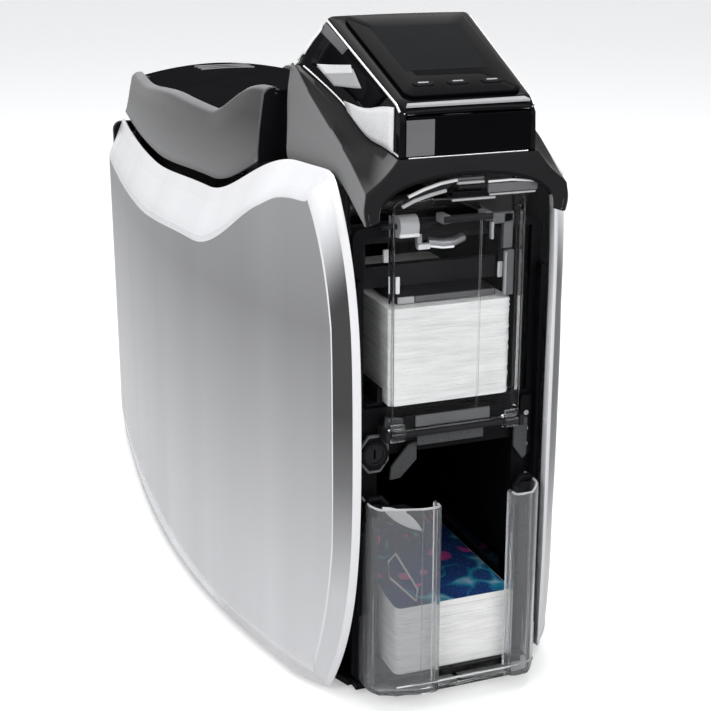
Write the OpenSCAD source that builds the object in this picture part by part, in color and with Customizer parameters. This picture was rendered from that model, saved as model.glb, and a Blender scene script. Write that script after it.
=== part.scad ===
// Desktop card printer with an input hopper behind a clear door, an open output tray,
// a tilted control head and a rear lid over the ribbon bay.
// X runs across the printer, Y from the front to the back, Z up. The origin is at the
// centre of the footprint, on the table.

/* [Body] */
// Width across the widest part of the side panels
body_w = 158; // [154:1:166]
// Depth from the front of the output tray to the rear face
body_d = 383; // [379:1:391]
// Height of the head's highest edge above the table
body_h = 282; // [278:1:288]
// Thickness of the side panels
panel_t = 2.2; // [1.6:0.2:3]
// Half width of the recess between the panels' front edges
recess_half = 42; // [41:0.5:44]
// Half width of the side panels at their front crease
front_half = 51.5; // [50:0.5:54]
// Half width of the side panels at the rear end
rear_half = 61; // [60:0.5:66]
// Drop from the head's highest edge to the panels' edge beside the hood
peak_drop = 55; // [52:1:58]
// Drop of the panels' top edge from the hood to the lid
valley_drop = 24; // [21:1:27]
// Width of the bevel along the panels' front edge
bevel_y = 7; // [5:0.5:9]
// How far the side panels' lower edge stands above the table
panel_lift = 2.5; // [2:0.1:3]

/* [Cards] */
// Width of a card, which lies across the printer
card_w = 54; // [53:0.5:55]
// Length of a card
card_l = 85.6; // [84:0.1:87]
// Thickness of a card
card_t = 0.76; // [0.5:0.02:0.9]
// Corner radius of a card
card_r = 3.2; // [2:0.1:5]
// Cards in the input hopper
input_cards = 54; // [20:1:56]
// Cards in the output tray below the printed one
output_cards = 40; // [10:1:60]

/* [Hoppers] */
// Drop from the panels' edge beside the hood to the input hopper's floor
floor_drop = 96; // [95:0.5:97]
// Height of the output tray's floor
output_floor_z = 13; // [12:0.5:15]
// How far the output tray stands in front of the side panels
tray_reach = 14; // [12:0.5:16]
// Gap between the two clear fins of the output tray
finger_gap = 32; // [28:1:36]
// Drop from the input hopper's floor to the fins' top edge
fin_drop = 39; // [35:1:45]
// Thickness of the clear mouldings
clear_t = 2; // [1.6:0.2:2.6]
// Clearance of the hopper door's top edge below the hood's arch
door_clear = 11; // [10:1:16]
// Width of the hopper door
door_w = 60; // [56:1:62]

/* [Head] */
// Half width of the head at its front
head_half = 28.5; // [27:0.5:30]
// Height of the head's front window
window_h = 20; // [18:0.5:22]
// Slope of the head's top panel in degrees
head_slope = 21.5; // [20:0.5:23]
// Gap between the hood and the lid
notch_gap = 8; // [7:0.5:10]

/* [Transport] */
// Radius of the card rollers
roller_r = 8; // [7.5:0.1:8.3]
// Radius of the roller shafts
shaft_r = 3; // [2.5:0.1:3.5]
// Radial clearance of a shaft in its bush
running_fit = 0.05; // [0.02:0.01:0.1]
// Teeth on each roller gear
gear_teeth = 30; // [30:2:32]
// Gear module
gear_module = 1; // [0.96:0.02:1]
// Thickness of the steel frame plates
frame_t = 1.5; // [1.2:0.1:2]
// Half distance between the inner faces of the frame plates
frame_half = 36; // [35.5:0.5:36.5]

/* [Feet] */
// Radius of a rubber foot
foot_r = 8; // [6:0.5:10]
// Height of a rubber foot
foot_h = 3; // [3:0.1:3.4]

/* [Hidden] */
$fn = 48;

// Main planes
peak_z = body_h - peak_drop;
valley_z = peak_z - valley_drop;
input_floor_z = peak_z - floor_drop;
fin_top_z = input_floor_z - fin_drop;
screw_head_t = 0.6;
front_y = -body_d/2 + tray_reach;
rear_y = body_d/2;
crease_y = front_y + bevel_y;
bulge = body_w/2 - front_half - 0.42*(rear_half - front_half);
stations = 34;

// Front edge of the side panels as seen from the side
bow_z = input_floor_z - 11;
top_bow = 36;
bottom_bow = 12;
rise = peak_z + 3 - bow_z;
band_front = 11;
band_rear = 22;
lower_band_front = 4;
lower_band_rear = 20;
rim_inset = 9;
lower_inset = 4;

// Lid and hood
hood_rear_y = front_y + 60;
lid_rear_y = rear_y - 6;
lid_inset = 11;
lid_t = 2.4;
lid_seam = 4;
hinge_y = rear_y - 16;
hinge_z = valley_z + 1;
hood_front_y = front_y - 9;
hood_half = recess_half + 1;
tip_z = peak_z - 18;
arch_z = peak_z + 1;
window_z = peak_z + 7;

// Head
head_tail = 6;
head_flare = 15;
top_flare = 4;
hood_flare = 8;
head_front_y = front_y - 8.5;
head_top_front_z = window_z + window_h;
head_run = (body_h - head_top_front_z)/tan(head_slope);
head_rear_y = head_front_y + head_run;
lid_front_y = head_rear_y + head_tail + notch_gap - 2;
head_t = 2.4;

// Card path and gear train
pitch_r = gear_teeth*gear_module/2;
gear_gap = 0.15;
gear_step = 2*pitch_r + gear_gap;
gear_w = 6;
gear_x = frame_half + frame_t + 2;
axle_z = input_floor_z - roller_r - 0.3;
stack_y = front_y + 4;
pick_y = stack_y + card_l - 15;
front_idler_y = pick_y + gear_step;
feed_y = pick_y + 2*gear_step;
rear_idler_y = pick_y + 3*gear_step;
platen_y = pick_y + 4*gear_step;
exit_angle = 66;
exit_y = pick_y + gear_step*cos(exit_angle);
exit_z = axle_z - gear_step*sin(exit_angle);
pinion_teeth = 12;
pinion_step = (gear_teeth + pinion_teeth)*gear_module/2 + gear_gap;
motor_z = axle_z - pinion_step;
motor_r = 16;
bush_r = shaft_r + 2;

// Ribbon bay
spool_z = axle_z + 49;
supply_y = platen_y + 36;
takeup_y = platen_y - 50;
spool_r = 6;
spool_bore = 3;

// Frame plates and base
base_z = foot_h;
base_t = 3;
plate_low_z = base_z + base_t;
plate_top_z = valley_z - 6;
plate_front_y = front_y + 17;
plate_rear_y = rear_y - 24;
bezel_y = front_y + 8;
bezel_t = 3;
hopper_half = recess_half - 5;
tray_wall = 6;
lid_nose = 20;
output_stack_y = front_y - 5;
output_stack_h = output_cards*card_t;
input_stack_h = input_cards*card_t;
fin_t = clear_t;
finger_shift = 6;
fin_y = -body_d/2;
rear_face = rear_y - screw_head_t;
back_in = rear_face - 4;

// Door
door_pivot_z = input_floor_z - 11;
door_h = arch_z - door_clear - door_pivot_z;
door_y = front_y - 2;
door_pin_r = 1.5;

// Small parts
screw_r = 1.6;
port_x = 34;
port_z = 34;
fan_x = 24;
fan_z = input_floor_z - 1;
lock_x = 8.8 - recess_half;
lock_z = input_floor_z - 20;
lock_r = 4.5;
tongue_half = 21;
strip_x = recess_half - 5.8;
strip_z = input_floor_z - 30;
strip_half = 2.8;
lamp_r = 1.1;
glass_gap = 0.9;
button_pitch = 14.5;
button_run = 13.5;
button_l = 9;
button_d = 3.4;
screen_run = 22;
power_x = -46;
power_z = 90;
power_r = 5;
axles = [[pick_y, axle_z], [front_idler_y, axle_z], [feed_y, axle_z], [rear_idler_y, axle_z],
    [platen_y, axle_z], [exit_y, exit_z]];
roller_phase = 0;
idler_phase = mesh_phase(90, roller_phase, gear_teeth, gear_teeth);
exit_phase = mesh_phase(90 - exit_angle, roller_phase, gear_teeth, gear_teeth);
pinion_phase = mesh_phase(0, roller_phase, gear_teeth, pinion_teeth);
hinge_x = 40;
hinge_r = 2;
door_pivot_y = door_y + 2;

// Shared shapes
function ease(a, b, v) = let(t = min(max((v - a)/(b - a), 0), 1)) t*t*(3 - 2*t);
function softmin(a, b, k) = -k*ln(exp(-a/k) + exp(-b/k));
function side_half(y) = let(t = min(max((y - crease_y)/(rear_y - crease_y), 0), 1))
    front_half + (rear_half - front_half)*t + bulge*sin(180*pow(t, 0.8));
function wave(y) = valley_z - 5*ease(front_y + 120, front_y + 220, y)
    + (peak_z + 1 - valley_z)*(1 - ease(front_y + 38, front_y + 122, y));
function front_curve(y) = bow_z + rise*pow(max(y - front_y, 0)/top_bow, 0.25);
function rim_top(y) = softmin(front_curve(y), wave(y), 2.5);
function rim_low(y) = max(bow_z - bow_z*pow(max(y - front_y, 0)/bottom_bow, 0.25), panel_lift);
function band(y) = band_front + (band_rear - band_front)*ease(front_y + 40, front_y + 115, y);
function low_band(y) = lower_band_front
    + (lower_band_rear - lower_band_front)*ease(front_y + 90, front_y + 230, y);
function low_inset(y) = rim_inset + (lower_inset - rim_inset)*ease(crease_y, crease_y + 24, y);
function rim_shift(y) = bevel_y*(1 - ease(crease_y, crease_y + 60, y));

// Closed thin shell between an outer and an inner grid of points
module shell(outer, inner, flip = false) {
    rows = len(outer);
    cols = len(outer[0]);
    half = rows*cols;
    pts = concat([for (r = outer) each r], [for (r = inner) each r]);
    function quad(a, b, c, d) = flip ? [[a, c, b], [a, d, c]] : [[a, b, c], [a, c, d]];
    function id(j, i) = j*cols + i;
    skin = [for (j = [0:rows - 2]) for (i = [0:cols - 2])
        each quad(id(j, i), id(j, i + 1), id(j + 1, i + 1), id(j + 1, i))];
    lining = [for (j = [0:rows - 2]) for (i = [0:cols - 2])
        each quad(half + id(j, i), half + id(j + 1, i), half + id(j + 1, i + 1), half + id(j, i + 1))];
    ends = [for (i = [0:cols - 2])
        each concat(
            quad(id(0, i), half + id(0, i), half + id(0, i + 1), id(0, i + 1)),
            quad(id(rows - 1, i), id(rows - 1, i + 1), half + id(rows - 1, i + 1), half + id(rows - 1, i)))];
    edges = [for (j = [0:rows - 2])
        each concat(
            quad(id(j, 0), id(j + 1, 0), half + id(j + 1, 0), half + id(j, 0)),
            quad(id(j, cols - 1), half + id(j, cols - 1), half + id(j + 1, cols - 1), id(j + 1, cols - 1)))];
    polyhedron(points = pts, faces = concat(skin, lining, ends, edges), convexity = 6);
}

// Rod along X between two places
module rod(x0, x1, y, z, r) {
    translate([x0, y, z]) rotate([0, 90, 0]) cylinder(r = r, h = x1 - x0);
}

// Box given by its lowest and highest corners
module block(low, high) {
    translate(low) cube(high - low);
}

// Plate across X with rounded corners, its face towards the front
module face_plate(x0, x1, z0, z1, y, t, r) {
    translate([0, y + t, 0]) rotate([90, 0, 0]) linear_extrude(t) rounded(x0, x1, z0, z1, r);
}

// Rounded rectangle between two corners
module rounded(x0, x1, y0, y1, r) {
    for (x = [x0 + r, x1 - r]) for (y = [y0 + r, y1 - r]) translate([x, y]) circle(r);
    translate([x0 + r, y0]) square([x1 - x0 - 2*r, y1 - y0]);
    translate([x0, y0 + r]) square([x1 - x0, y1 - y0 - 2*r]);
}

// Involute gear tooth outline, thinned a little on both flanks
function involute(base, t) = [base*(cos(t) + t*PI/180*sin(t)), base*(sin(t) - t*PI/180*cos(t))];
function turn(p, a) = [p[0]*cos(a) - p[1]*sin(a), p[0]*sin(a) + p[1]*cos(a)];
// Phase that puts gear b in mesh with gear a, which lies at the angle phi from it
function mesh_phase(phi, a, na, nb) = phi + 180 - 180/nb + (phi - a)*na/nb;
function roll_angle(base, r) = r <= base ? 0 : sqrt(pow(r/base, 2) - 1)*180/PI;
module gear(teeth, width, phase) {
    pitch = teeth*gear_module/2;
    base = pitch*cos(20);
    root = pitch - 1.25*gear_module;
    tip = pitch + gear_module;
    start = roll_angle(base, max(base, root));
    stop = roll_angle(base, tip);
    at_pitch = involute(base, roll_angle(base, pitch));
    half_tooth = 90/teeth - 1.1 + atan2(at_pitch[1], at_pitch[0]);
    flank = [for (k = [0:3]) turn(involute(base, start + (stop - start)*k/3), -half_tooth)];
    foot = [root*cos(atan2(flank[0][1], flank[0][0]) - 0.4), root*sin(atan2(flank[0][1], flank[0][0]) - 0.4)];
    side = concat([foot], flank);
    tooth = concat(side, [for (k = [4:-1:0]) [side[k][0], -side[k][1]]]);
    rotate([0, 90, 0]) linear_extrude(width)
        polygon([for (n = [0:teeth - 1]) each [for (p = tooth) turn(p, phase + n*360/teeth)]]);
}

// Panel cross-section point at station y: part 0 bottom rim, 1 lower crease, 2 and 3 on the
// face, 4 upper crease, 5 top rim
function panel_point(y, part, inner) =
    let(w = side_half(y), t = inner ? panel_t : 0,
        high = rim_top(y - rim_shift(y)), deep = rim_low(y - rim_shift(y)),
        top = high - (inner ? 0.8*panel_t : 0), low = deep + (inner ? 0.8*panel_t : 0),
        up = high - min(band(y), 0.6*(high - bow_z)) - (inner ? 0.3*panel_t : 0),
        down = deep + min(low_band(y), 0.6*(bow_z - deep)) + (inner ? 0.3*panel_t : 0),
        z = part == 0 ? low : part == 1 ? down : part == 2 ? down + (up - down)/3
            : part == 3 ? down + (up - down)*2/3 : part == 4 ? up : top,
        x = part == 0 ? w - low_inset(y) - 0.6*t : part == 5 ? w - rim_inset - 0.6*t : w - t)
    [x, (part == 0 || part == 5) ? y - rim_shift(y) : y, z];
function front_point(part, inner) =
    let(q = panel_point(panel_station(0), part, inner))
    [recess_half + (inner ? 0.2 : 0), front_y + 0.05 + (inner ? panel_t : 0)
        + (part == 5 ? 7 : part == 0 ? 3 : part == 4 ? 3.5 : 0.5), q[2]];
function panel_station(k) = crease_y + 0.05 + (back_in - 0.05 - crease_y)*pow(k/stations, 1.5);

module side_panel(flip) {
    outer = concat([[for (p = [0:5]) front_point(p, false)]],
        [for (k = [0:stations]) [for (p = [0:5]) panel_point(panel_station(k), p, false)]]);
    inner = concat([[for (p = [0:5]) front_point(p, true)]],
        [for (k = [0:stations]) [for (p = [0:5]) panel_point(panel_station(k), p, true)]]);
    shell(outer, inner, flip);
}

module left_side_panel() {
    color("silver") mirror([1, 0, 0]) side_panel(false);
}

module right_side_panel() {
    color("silver") side_panel(false);
}

// Footprint of the body, inset from the side panels
module footprint(inset) {
    ys = [for (k = [0:24]) plate_front_y - 6 + (back_in - plate_front_y + 6)*k/24];
    polygon(concat([for (y = ys) [side_half(y) - inset, y]],
        [for (k = [24:-1:0]) [-side_half(ys[k]) + inset, ys[k]]]));
}

module base_tray() {
    color([0.12, 0.12, 0.13]) {
        difference() {
            translate([0, 0, base_z]) linear_extrude(base_t) footprint(rim_inset + 0.6*panel_t + 0.3);
            for (x = [-1, 1]) for (y = [plate_front_y + 40, plate_rear_y - 20])
                translate([x*45, y, base_z - 1]) cylinder(r = screw_r, h = base_t + 2);
        }
        block([-recess_half + 1, front_y + 6, base_z], [recess_half - 1, plate_front_y - 5, base_z + base_t]);
    }
}

module rear_panel() {
    half = side_half(rear_y) - panel_t - 1;
    color([0.13, 0.13, 0.14]) difference() {
        face_plate(-half, half, base_z + 1, valley_z - 7, back_in, rear_face - back_in, 5);
        for (k = [0:8])
            block([-half + 12 + k*4.4, rear_y - 6, fan_z - 20], [-half + 14 + k*4.4, rear_y + 1, fan_z + 30]);
        block([port_x - 14.2, rear_y - 6, port_z - 10.2], [port_x + 14.2, rear_y + 1, port_z + 10.2]);
        block([-9.2, rear_y - 6, port_z - 8.2], [5.2, rear_y + 1, port_z + 6.2]);
        block([-36.2, rear_y - 6, port_z - 8.2], [-19.8, rear_y + 1, port_z + 6.2]);
        block([fan_x - 19, rear_y - 6, fan_z - 19], [fan_x + 19, rear_y + 1, fan_z + 19]);
        translate([power_x, back_in - 1, power_z]) rotate([-90, 0, 0]) cylinder(r = power_r + 0.3, h = 6);
    }
}

module front_bezel() {
    color([0.07, 0.07, 0.08]) {
        difference() {
            face_plate(-recess_half + 0.5, recess_half - 0.5, base_z + base_t, peak_z - 22,
                bezel_y, bezel_t, 4);
            block([-hopper_half, bezel_y - 1, input_floor_z - 1], [hopper_half, bezel_y + 5, peak_z - 26]);
            block([-card_w/2 - 4, bezel_y - 1, output_floor_z - 4],
                [card_w/2 + 4, bezel_y + 5, input_floor_z - 22]);
            translate([lock_x, bezel_y - 1, lock_z]) rotate([-90, 0, 0]) cylinder(r = lock_r + running_fit, h = 6);
        }
        for (x = [-1, 1]) scale([x, 1, 1])
            block([recess_half - 2.5, front_y + 3, 40], [recess_half - 0.5, bezel_y, peak_z - 42]);
        block([-tongue_half, front_y + 2.5, input_floor_z - 15], [tongue_half, bezel_y, input_floor_z - 4.3]);
    }
}

module frame_plate(side) {
    color([0.62, 0.63, 0.65]) scale([side, 1, 1]) difference() {
        block([frame_half, plate_front_y, plate_low_z], [frame_half + frame_t, plate_rear_y, plate_top_z]);
        for (a = axles) translate([frame_half - 1, a[0], a[1]]) rotate([0, 90, 0])
            cylinder(r = bush_r, h = frame_t + 2);
        for (y = [supply_y, takeup_y]) translate([frame_half - 1, y, spool_z]) rotate([0, 90, 0])
            cylinder(r = spool_bore + running_fit, h = frame_t + 2);
    }
}

module left_frame_plate() {
    frame_plate(-1);
}

module right_frame_plate() {
    frame_plate(1);
}

module frame_crossbars() {
    color([0.55, 0.56, 0.58]) {
        for (p = [[plate_rear_y - 10, plate_top_z - 8], [plate_rear_y - 10, plate_low_z + 12],
            [plate_front_y + 112, plate_low_z + 12], [pick_y + 34, plate_top_z - 6]])
            rod(-frame_half, frame_half, p[0], p[1], 4);
    }
}

module input_hopper_tray() {
    half = card_w/2 + 0.6;
    color([0.09, 0.09, 0.1]) difference() {
        union() {
            block([-frame_half + 1.3, bezel_y + bezel_t, input_floor_z - 3.5],
                [frame_half - 1.3, stack_y + card_l + 1, input_floor_z - 0.3]);
            for (x = [-1, 1]) scale([x, 1, 1])
                block([half, bezel_y + bezel_t, input_floor_z - 0.3],
                    [half + 2, stack_y + card_l - 8, input_floor_z + tray_wall]);
        }
        block([-16, pick_y - roller_r - 1, input_floor_z - 5], [16, pick_y + roller_r + 1, input_floor_z + 1]);
    }
}

module output_tray() {
    low = base_z + base_t;
    half = card_w/2 + 2;
    color([0.5, 0.52, 0.55, 0.6]) {
        block([-half - 2, output_stack_y - 2, output_floor_z - 3], [half + 2, output_stack_y + card_l + 4, output_floor_z]);
        for (x = [-1, 1]) scale([x, 1, 1])
            block([half, bezel_y + bezel_t + 1, output_floor_z], [half + 2, output_stack_y + card_l + 4, output_floor_z + 38]);
        block([-half, output_stack_y + card_l + 2, output_floor_z], [half, output_stack_y + card_l + 4, output_floor_z + 38]);
        for (x = [-20, 20]) block([x - 3, output_stack_y + 20, low], [x + 3, output_stack_y + card_l, output_floor_z - 3]);
    }
}

// Fin outline from above: a bowed front, a return towards the side panel
module fin(side) {
    outer_x = recess_half - 3;
    inner_x = finger_gap/2 + side*finger_shift;
    low = output_floor_z - 6;
    color([0.75, 0.78, 0.82, 0.45]) scale([side, 1, 1]) {
        translate([0, 0, low]) linear_extrude(fin_top_z - low)
            polygon([[inner_x, output_stack_y - 2], [inner_x, fin_y + 2], [inner_x + 2, fin_y], [inner_x + 9, fin_y],
                [outer_x - 3, fin_y + 6], [outer_x, fin_y + 12], [outer_x, bezel_y], [outer_x - fin_t, bezel_y],
                [outer_x - fin_t, fin_y + 13], [outer_x - 5, fin_y + 9], [inner_x + 9, fin_y + fin_t],
                [inner_x + fin_t, fin_y + fin_t], [inner_x + fin_t, output_stack_y - 2]]);
        translate([0, 0, low]) linear_extrude(clear_t)
            polygon([[0, fin_y + 3], [inner_x + 2, fin_y + 0.5], [inner_x + 9, fin_y + 0.5], [outer_x - 3, fin_y + 6.5],
                [outer_x - 0.5, fin_y + 12], [outer_x - 0.5, bezel_y], [0, bezel_y]]);
    }
}

module left_output_fin() {
    fin(-1);
}

module right_output_fin() {
    fin(1);
}

// Hood sections run from the front lip to the rear edge
function head_share(y) = min(max((y - head_front_y)/(head_rear_y - head_front_y), 0), 1);
function hood_w(y) = hood_half + hood_flare*ease(hood_front_y, hood_rear_y, y);
function head_line(y) = window_z + (body_h - 20 - window_z)*pow(head_share(y), 1.35);
function head_w(y) = head_half + head_flare*pow(head_share(y), 2);
function hood_low(y) = tip_z + (peak_z - 3 - tip_z)*ease(hood_front_y - 3, hood_front_y + 28, y);
rib_y = hood_front_y + 34;
rib_run = 30;
hood_rows = 14;
function hood_y(k) = hood_front_y + (head_rear_y + head_tail - 1 - hood_front_y)*k/hood_rows;
function hood_section(y, t) = let(
        cut = max(0, (y - hood_rear_y)),
        low = hood_low(y) + 1.6*max(0, y - hood_rear_y + 2),
        hw = hood_w(y) - t - 0.45*cut,
        sw = head_w(y) + 2 - t*0.6,
        top = head_line(y) + 0.4 - t,
        lowz = min(low, top - 4))
    [for (s = [-1, 1]) each (s < 0 ? [[-hw, y, lowz], [-hw + 1.5, y, lowz + 3 + (top - lowz - 3)*0.12],
        [-(hw*0.55 + sw*0.45), y, lowz + (top - lowz)*0.62], [-sw, y, top], [-sw*0.5, y, top]]
        : [[sw*0.5, y, top], [sw, y, top], [hw*0.55 + sw*0.45, y, lowz + (top - lowz)*0.62],
        [hw - 1.5, y, lowz + 3 + (top - lowz - 3)*0.12], [hw, y, lowz]])];

module head_hood() {
    color([0.2, 0.2, 0.21]) {
        shell([for (k = [0:hood_rows]) hood_section(hood_y(k), 0)],
            [for (k = [0:hood_rows]) [for (p = hood_section(hood_y(k), 2.4)) p]], true);
        hood_lip();
        for (x = [-1, 1]) scale([x, 1, 1]) translate([frame_half, 0, 0]) rotate([90, 0, 90]) linear_extrude(frame_t)
            polygon([[rib_y, plate_top_z], [rib_y + rib_run, plate_top_z],
                [rib_y + rib_run, head_line(rib_y + rib_run) - 2.2], [rib_y, head_line(rib_y) - 5.3]]);
    }
}

// Arched front lip under the window
module hood_lip() {
    lip_t = 3;
    difference() {
        translate([0, hood_front_y + lip_t, 0]) rotate([90, 0, 0]) linear_extrude(lip_t)
            polygon(concat([[-hood_half + 1, tip_z + 1], [-head_half - 1, window_z - 1], [head_half + 1, window_z - 1],
                [hood_half - 1, tip_z + 1], [hood_half - 4, tip_z + 0.5]],
                [for (k = [0:16]) let(a = 180*k/16)
                    [(hood_half - 6)*cos(a), tip_z + 2 + (arch_z - tip_z - 2)*pow(sin(a), 0.7)]],
                [[-hood_half + 4, tip_z + 0.5]]));
    }
}

// Head sections: bottom corners, sloping sides and top panel
function head_top(y) = min(head_top_front_z + (y - head_front_y)*tan(head_slope), body_h)
    - 17*pow(max(0, (y - head_rear_y + 1)/8), 1.4);
function head_top_w(y) = head_half - 0.5 + top_flare*head_share(y);
head_rows = 16;
function head_y(k) = head_front_y + (head_rear_y + head_tail - head_front_y)*k/head_rows;
function head_section(y, t) = let(
        front = ease(head_front_y - 1, head_front_y + 5, y),
        bottom = head_line(y) + 0.6,
        top = max(head_top(y) - 3*(1 - front), bottom + 3 + t) - t,
        bw = head_w(y) - t,
        tw = head_top_w(y) - 1.2*t)
    [[-bw, y, bottom], [-bw + (bw - tw)*0.15, y, bottom + (top - bottom)*0.3], [-tw - (bw - tw)*0.2, y, bottom + (top - bottom)*0.8],
        [-tw, y, top - 1], [-tw + 2.5, y, top + 0.3], [0, y, top + 0.6], [tw - 2.5, y, top + 0.3], [tw, y, top - 1],
        [tw + (bw - tw)*0.2, y, bottom + (top - bottom)*0.8], [bw - (bw - tw)*0.15, y, bottom + (top - bottom)*0.3], [bw, y, bottom]];

module head_shell() {
    color([0.06, 0.06, 0.07]) {
        difference() {
            shell([for (k = [0:head_rows]) head_section(head_y(k), 0)],
                [for (k = [0:head_rows]) head_section(head_y(k), head_t)], true);
            on_head() for (k = [-1:1]) translate([k*button_pitch, button_run, -head_t - 3])
                rounded_bar(button_l + 0.8, button_d + 0.8, 12);
        }
        face_plate(-head_half + 2, head_half - 2, window_z + 0.6, head_top_front_z - 4, head_front_y, head_t, 3);
    }
}

// Places things on the head's sloping top panel, measured back from its front edge
module on_head() {
    translate([0, head_front_y, head_top_front_z]) rotate([head_slope, 0, 0]) children();
}

module rounded_bar(l, d, h) {
    linear_extrude(h) rounded(-l/2, l/2, -d/2, d/2, d/2 - 0.01);
}

module display_glass() {
    color([0.02, 0.02, 0.03]) on_head() difference() {
        translate([0, 0, glass_gap]) linear_extrude(1.2) hull() for (s = [-1, 1]) {
            translate([s*(head_half - 8), 9]) circle(4);
            translate([s*(head_half - 6), head_run/cos(head_slope) - 8]) circle(4);
        }
        for (k = [-1:1]) translate([k*button_pitch, button_run, -1])
            rounded_bar(button_l + 0.8, button_d + 0.8, 12);
    }
}

module lcd_panel() {
    color([0.1, 0.11, 0.13]) on_head()
        block([-18, screen_run, -head_t - 4.5], [18, screen_run + 38, -head_t + 0.3]);
}

module soft_button(k) {
    color([0.05, 0.05, 0.06]) on_head() translate([k*button_pitch, button_run, -head_t - 2.4])
        rounded_bar(button_l, button_d, head_t + glass_gap + 4.2);
}

module left_button() {
    soft_button(-1);
}

module middle_button() {
    soft_button(0);
}

module right_button() {
    soft_button(1);
}

module power_button() {
    color([0.75, 0.76, 0.78]) translate([power_x, back_in - 2, power_z]) rotate([-90, 0, 0])
        cylinder(r = power_r, h = 6.3);
}

module lock_surround() {
    color([0.12, 0.12, 0.13]) translate([lock_x, bezel_y, lock_z]) rotate([90, 0, 0]) difference() {
        cylinder(r = lock_r + 1.7, h = 4, $fn = 8);
        translate([0, 0, -1]) cylinder(r = lock_r + running_fit, h = 6);
    }
}

module lock_barrel() {
    color([0.3, 0.3, 0.32]) difference() {
        translate([lock_x, bezel_y + 8, lock_z]) rotate([90, 0, 0]) cylinder(r = lock_r, h = 11.2);
        block([lock_x - 0.5, bezel_y - 4, lock_z - 2], [lock_x + 0.5, bezel_y - 1.5, lock_z + 2]);
    }
}

module status_strip() {
    color([0.03, 0.03, 0.04]) difference() {
        face_plate(strip_x - strip_half, strip_x + strip_half, strip_z, strip_z + 27, bezel_y - 2.4, 2.4, 1.5);
        for (k = [0:2]) translate([strip_x, bezel_y + 1, strip_z + 5 + k*7]) rotate([90, 0, 0]) cylinder(r = lamp_r, h = 5);
    }
}

module status_lamps() {
    color([0.85, 0.87, 0.9]) for (k = [0:2])
        translate([strip_x, bezel_y, strip_z + 5 + k*7]) rotate([90, 0, 0]) cylinder(r = lamp_r, h = 2.5);
}

module main_board() {
    x = -frame_half - frame_t - 9;
    color([0.05, 0.3, 0.16]) block([x - 1.6, 10, 60], [x, 130, 150]);
    color([0.1, 0.1, 0.1]) for (k = [0:2]) block([x, 25 + k*32, 80], [x + 2.5, 45 + k*32, 100]);
    color([0.7, 0.7, 0.7]) for (y = [15, 125]) for (z = [65, 145]) rod(x, x + 9, y, z, 2.5);
}

module power_inlet() {
    color([0.05, 0.05, 0.05]) difference() {
        block([port_x - 14, rear_y - 16, port_z - 10], [port_x + 14, rear_face, port_z + 10]);
        block([port_x - 11.5, rear_y - 13, port_z - 7.5], [port_x + 11.5, rear_y + 1, port_z + 7.5]);
    }
}

module usb_port() {
    color([0.7, 0.7, 0.72]) difference() {
        block([-9, rear_y - 16, port_z - 8], [5, rear_face, port_z + 6]);
        block([-7.5, rear_y - 13, port_z - 6.5], [3.5, rear_y + 1, port_z + 4.5]);
    }
}

module network_port() {
    color([0.7, 0.7, 0.72]) difference() {
        block([-36, rear_y - 18, port_z - 8], [-20, rear_face, port_z + 6]);
        block([-34, rear_y - 14, port_z - 6], [-22, rear_y + 1, port_z + 4]);
    }
}

module transport_motor() {
    color([0.35, 0.36, 0.38]) rod(gear_x + gear_w + 2.7, gear_x + gear_w + 22, platen_y, motor_z, motor_r);
}

module motor_bracket() {
    x = gear_x + gear_w + 1;
    color([0.6, 0.6, 0.62]) {
        difference() {
            block([x, platen_y - 20, motor_z - 20], [x + 1.5, platen_y + 20, motor_z + 12]);
            rod(x - 1, x + 3, platen_y, motor_z, 4);
        }
        for (y = [-15, 15]) rod(frame_half + frame_t, x, platen_y + y, motor_z - 16, 2.5);
    }
}

module cooling_fan() {
    color([0.1, 0.1, 0.1]) difference() {
        block([fan_x - 20, rear_y - 14, fan_z - 20], [fan_x + 20, back_in, fan_z + 20]);
        translate([fan_x, rear_y - 12.5, fan_z]) rotate([-90, 0, 0]) cylinder(r = 18.5, h = 12);
        translate([fan_x, rear_y - 16, fan_z]) rotate([-90, 0, 0]) cylinder(r = 2, h = 12);
    }
}

module fan_rotor() {
    color([0.15, 0.15, 0.15]) translate([fan_x, rear_y - 12, fan_z]) rotate([-90, 0, 0]) {
        cylinder(r = 8, h = 7.5);
        translate([0, 0, -1.9]) cylinder(r = 1.95, h = 3);
        for (k = [0:6]) rotate([0, 0, k*360/7]) translate([7, -0.7, 0.5]) rotate([30, 0, 0]) cube([10.5, 1.4, 6]);
    }
}

module rubber_feet() {
    color([0.08, 0.08, 0.08]) for (x = [-1, 1]) for (y = [plate_front_y + 8, plate_rear_y])
        translate([x*(y < 0 ? 28 : 44), y, 0]) cylinder(r = foot_r, h = foot_h);
}

module chassis_screws() {
    color([0.7, 0.7, 0.7]) {
        for (x = [-1, 1]) for (y = [plate_front_y + 40, plate_rear_y - 20]) translate([x*45, y, base_z - 0.6]) {
            cylinder(r = 3, h = 0.6);
            cylinder(r = screw_r, h = 6);
        }
        for (x = [-1, 1]) for (z = [20, 180]) translate([x*(rear_half - 10), rear_face, z]) rotate([-90, 0, 0])
            cylinder(r = 3, h = screw_head_t);
    }
}

module bearing_bushes() {
    color([0.8, 0.6, 0.25]) for (a = axles) for (s = [-1, 1]) scale([s, 1, 1]) difference() {
        union() {
            rod(frame_half, frame_half + frame_t, a[0], a[1], bush_r);
            rod(frame_half - 1, frame_half, a[0], a[1], bush_r + 1.5);
        }
        rod(frame_half - 2, frame_half + frame_t + 1, a[0], a[1], shaft_r + running_fit);
    }
}

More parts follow.
